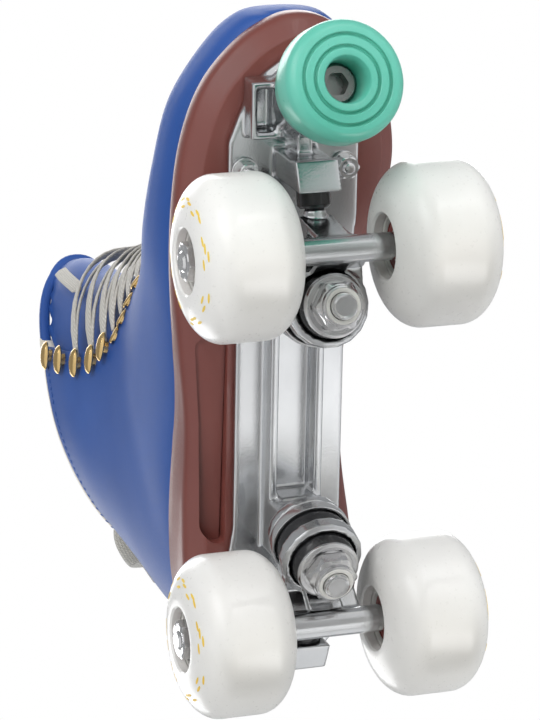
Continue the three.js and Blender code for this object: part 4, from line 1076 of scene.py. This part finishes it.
def repeat(name, shape_mesh, places, material, body, stands_for=(), sharp=35.0):
    """places: matrices in millimetres, the shape's Z along each one's Z."""
    shape = bpy.data.objects.new("one_shape", shape_mesh)
    bpy.context.scene.collection.objects.link(shape)
    spots = bpy.data.meshes.new("spots")
    spots.from_pydata([tuple(m.translation * METRE) for m in places], [], [])
    turn = spots.attributes.new("turn", "FLOAT_VECTOR", "POINT")
    for entry, m in zip(turn.data, places):
        entry.vector = tuple(m.to_euler("XYZ"))
    holder = bpy.data.objects.new("holder", spots)
    bpy.context.scene.collection.objects.link(holder)
    fill = holder.modifiers.new("repeat", "NODES")
    fill.node_group = REPEAT
    sockets = {s.name: s.identifier for s in REPEAT.interface.items_tree if s.in_out == "INPUT"}
    fill[sockets["Shape"]] = shape
    fill[sockets["Size"]] = 1.0
    fill[sockets["Finish"]] = finishes[material]
    dg = bpy.context.evaluated_depsgraph_get()
    made = bpy.data.meshes.new_from_object(holder.evaluated_get(dg))
    bpy.data.objects.remove(holder)
    bpy.data.objects.remove(shape)
    print(name, len(places), "copies,", len(made.polygons), "faces")
    return hang(name, made, material, body, stands_for, sharp)


def facing(point, normal, along):
    """A placing matrix whose Z is the normal and whose X follows along."""
    z = normal.normalized()
    x = (along - z * along.dot(z)).normalized()
    y = z.cross(x)
    return ROW @ Matrix(((x.x, y.x, z.x, point.x), (x.y, y.y, z.y, point.y),
                         (x.z, y.z, z.z, point.z), (0, 0, 0, 1)))


# %% [markdown]
# ## Eyelets and hooks
# Low down the lace runs through brass eyelets, rolled rings with a short barrel. Higher up it
# is hung round domed hooks, so the boot opens quickly. Both follow the throat's edge, turned to
# the surface under them; the hooks' domes look a little outwards.

# %% Eyelets and hooks up the throat
def edge_places(rows, beside, lift, face=0.0):
    """Places beside the throat, both sides, leaning out by some degrees."""
    out = []
    for at in rows:
        for side in (-1, 1):
            angle = side * (throat_angle(at) + math.radians(beside))
            point = last_point(at, angle, -lift)
            along = last_point(min(at + 0.01, 1), angle, 0) - last_point(at - 0.01, angle, 0)
            out.append(facing(point, outward(at, angle + side * math.radians(face)), along))
    return out


flat = Matrix.Identity(4)
eyelet = turned([(2.1, -1.2), (2.1, 0.4), (2.5, 0.85), (3.1, 1.0), (3.8, 0.8), (4.3, 0.2),
                 (4.3, -0.3), (2.8, -0.3), (2.8, -1.2)], flat, 32)
hook = turned([(0, -0.8), (1.9, -0.8), (1.9, 0.9), (3.4, 1.1), (4.3, 1.3), (4.6, 1.8), (4.4, 2.5),
               (3.5, 3.4), (1.9, 4.0), (0, 4.2)], flat, 32)
hook.transform(Matrix.Diagonal((0.8, 1.35, 1, 1)))
repeat("lace_eyelets", eyelet, edge_places(EYELET_ROWS, 5, 0.1), "aged_brass", "root")
repeat("lace_hooks", hook, edge_places(HOOK_ROWS, 4.0, 0.6, 16), "aged_brass", "root")

# %% [markdown]
# ## Bolts and nuts that hold the plate
# Four small bolts come down through the sole and the plate, each with a washer and a hexagon
# nut. Their places come from the frame's own boxes.

# %% Mounting bolts and nuts
corners = [f"{end}_{side}" for end in ("front", "rear") for side in ("left", "right")]
bolt_places, nut_places = [], []
for corner in corners:
    low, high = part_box(f"{corner}_mounting_nut")
    centre = (low + high) / 2 / METRE
    nut_places.append(Matrix.Translation((centre.x, centre.y, high.z / METRE)))
    low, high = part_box(f"{corner}_mounting_bolt")
    bolt_places.append(Matrix.Translation((centre.x, centre.y, low.z / METRE)))
bolt_long = [high.z / METRE - low.z / METRE for low, high in
             (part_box(f"{corner}_mounting_bolt") for corner in corners)]
small_nut = turned([(2.6, 0), (5.2, 0), (5.4, -0.2), (5.4, -0.8), (5.2, -1), (4.0, -1, 8),
                    (4.6, -1.4, 8), (4.7, -2, 8), (4.7, -4.6, 8), (4.4, -5.3, 8),
                    (3.8, -5.6, 8), (2.6, -5.5)], flat, 72)
repeat("mounting_nuts", small_nut, nut_places, "bright_steel", "root",
       [f"{corner}_mounting_nut" for corner in corners], 25)
for end, pair, tall in (("front", slice(0, 2), bolt_long[0]), ("rear", slice(2, 4), bolt_long[2])):
    shaft = [(0, 0.1), (1.5, 0.15), (2.1, 0.5), (2.5, 1.1)]
    height = 1.3
    while height < 9:
        shaft += [(2.2, height + 0.35), (2.5, height + 0.7)]
        height += 0.8
    shaft += [(2.5, tall - 2.4), (5, tall - 1), (5, tall), (0, tall)]
    repeat(f"{end}_mounting_bolts", turned(shaft, flat, 48), bolt_places[pair], "bright_steel",
           "root", [f"{corner}_mounting_bolt" for corner in corners[pair]], 30)

# %% [markdown]
# ## Stitches
# A row of small stitches holds the collar binding and runs down each edge of the throat.

# %% Stitch rows
stitch = turned([(0, -0.35), (0.35, -0.2), (0.42, 0), (0.35, 0.2), (0, 0.35)], flat, 6)
stitch.transform(Matrix.Diagonal((3.0, 1, 0.8, 1)))
rows = []
for side in (-1, 1):
    at = THROAT + 0.03
    while at < COLLAR - 0.012:
        angle = side * (edge_angle(at) + math.radians(4.0))
        here, there = last_point(at, angle, -0.05), last_point(at + 0.002, angle, -0.05)
        rows.append(facing(here, outward(at, angle), there - here))
        at += 0.002 * 3.4 / max((there - here).length, 0.05)
angle = edge_angle(COLLAR) + 0.05
while angle < 2 * math.pi - edge_angle(COLLAR) - 0.05:
    here = last_point(COLLAR - 0.012, angle, -0.05)
    there = last_point(COLLAR - 0.012, angle + 0.01, -0.05)
    rows.append(facing(here, outward(COLLAR - 0.012, angle), there - here))
    angle += 0.01 * 3.4 / (there - here).length
repeat("edge_stitches", stitch, rows, "blue_microfibre", "root")

# %% [markdown]
# ## Marks on the wheels
# The tyre's outer face carries a worn ring of small yellow printed dashes. Each lies on the
# curve of the face, a hair proud of it.

# %% Printed dashes
dash = turned([(0, 0), (1.0, 0), (0.95, 0.1), (0, 0.12)], flat, 12)
dash.transform(Matrix.Diagonal((2.1, 0.55, 1, 1)))
for end in ("front", "rear"):
    for side_name, side in (("left", 1), ("right", -1)):
        low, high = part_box(f"{end}_{side_name}_tyre")
        centre = (low + high) / 2 / METRE
        marks = []
        for k in range(46):
            angle = 2 * math.pi * k / 46
            if k % 12 in (4, 5, 9, 10, 11):
                continue
            radius = 21.5 + 1.6 * math.sin(k * 2.4)
            bend = math.acos(1 - (31 - radius) / 18.8)
            way = Vector((math.cos(angle), 0, math.sin(angle)))
            sideways = Vector((0, side, 0))
            normal = way * (math.cos(bend) / 18.8) + sideways * (math.sin(bend) / 12.8)
            spot = centre + way * radius + sideways * (7.5 + 12.8 * math.sin(bend))
            along = Vector((-way.z, 0.3 * math.sin(k * 1.7), way.x))
            marks.append(ROW.inverted() @ facing(spot, normal, along))
        repeat(f"{end}_{side_name}_wheel_print", dash, marks, "printed_yellow",
               f"{end}_{side_name}_wheel")

# %% [markdown]
# ## Sizes, and the end
# The detailed skate has to keep the size of the measured frame, so the frame's box is printed
# at the start and, at the end, how much the detailed skate's box grew.

# %% Sizes before and after
low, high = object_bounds()
print("grew by", [round((v - w) / METRE, 2) for v, w in zip(high - low, cad_high - cad_low)], "mm")
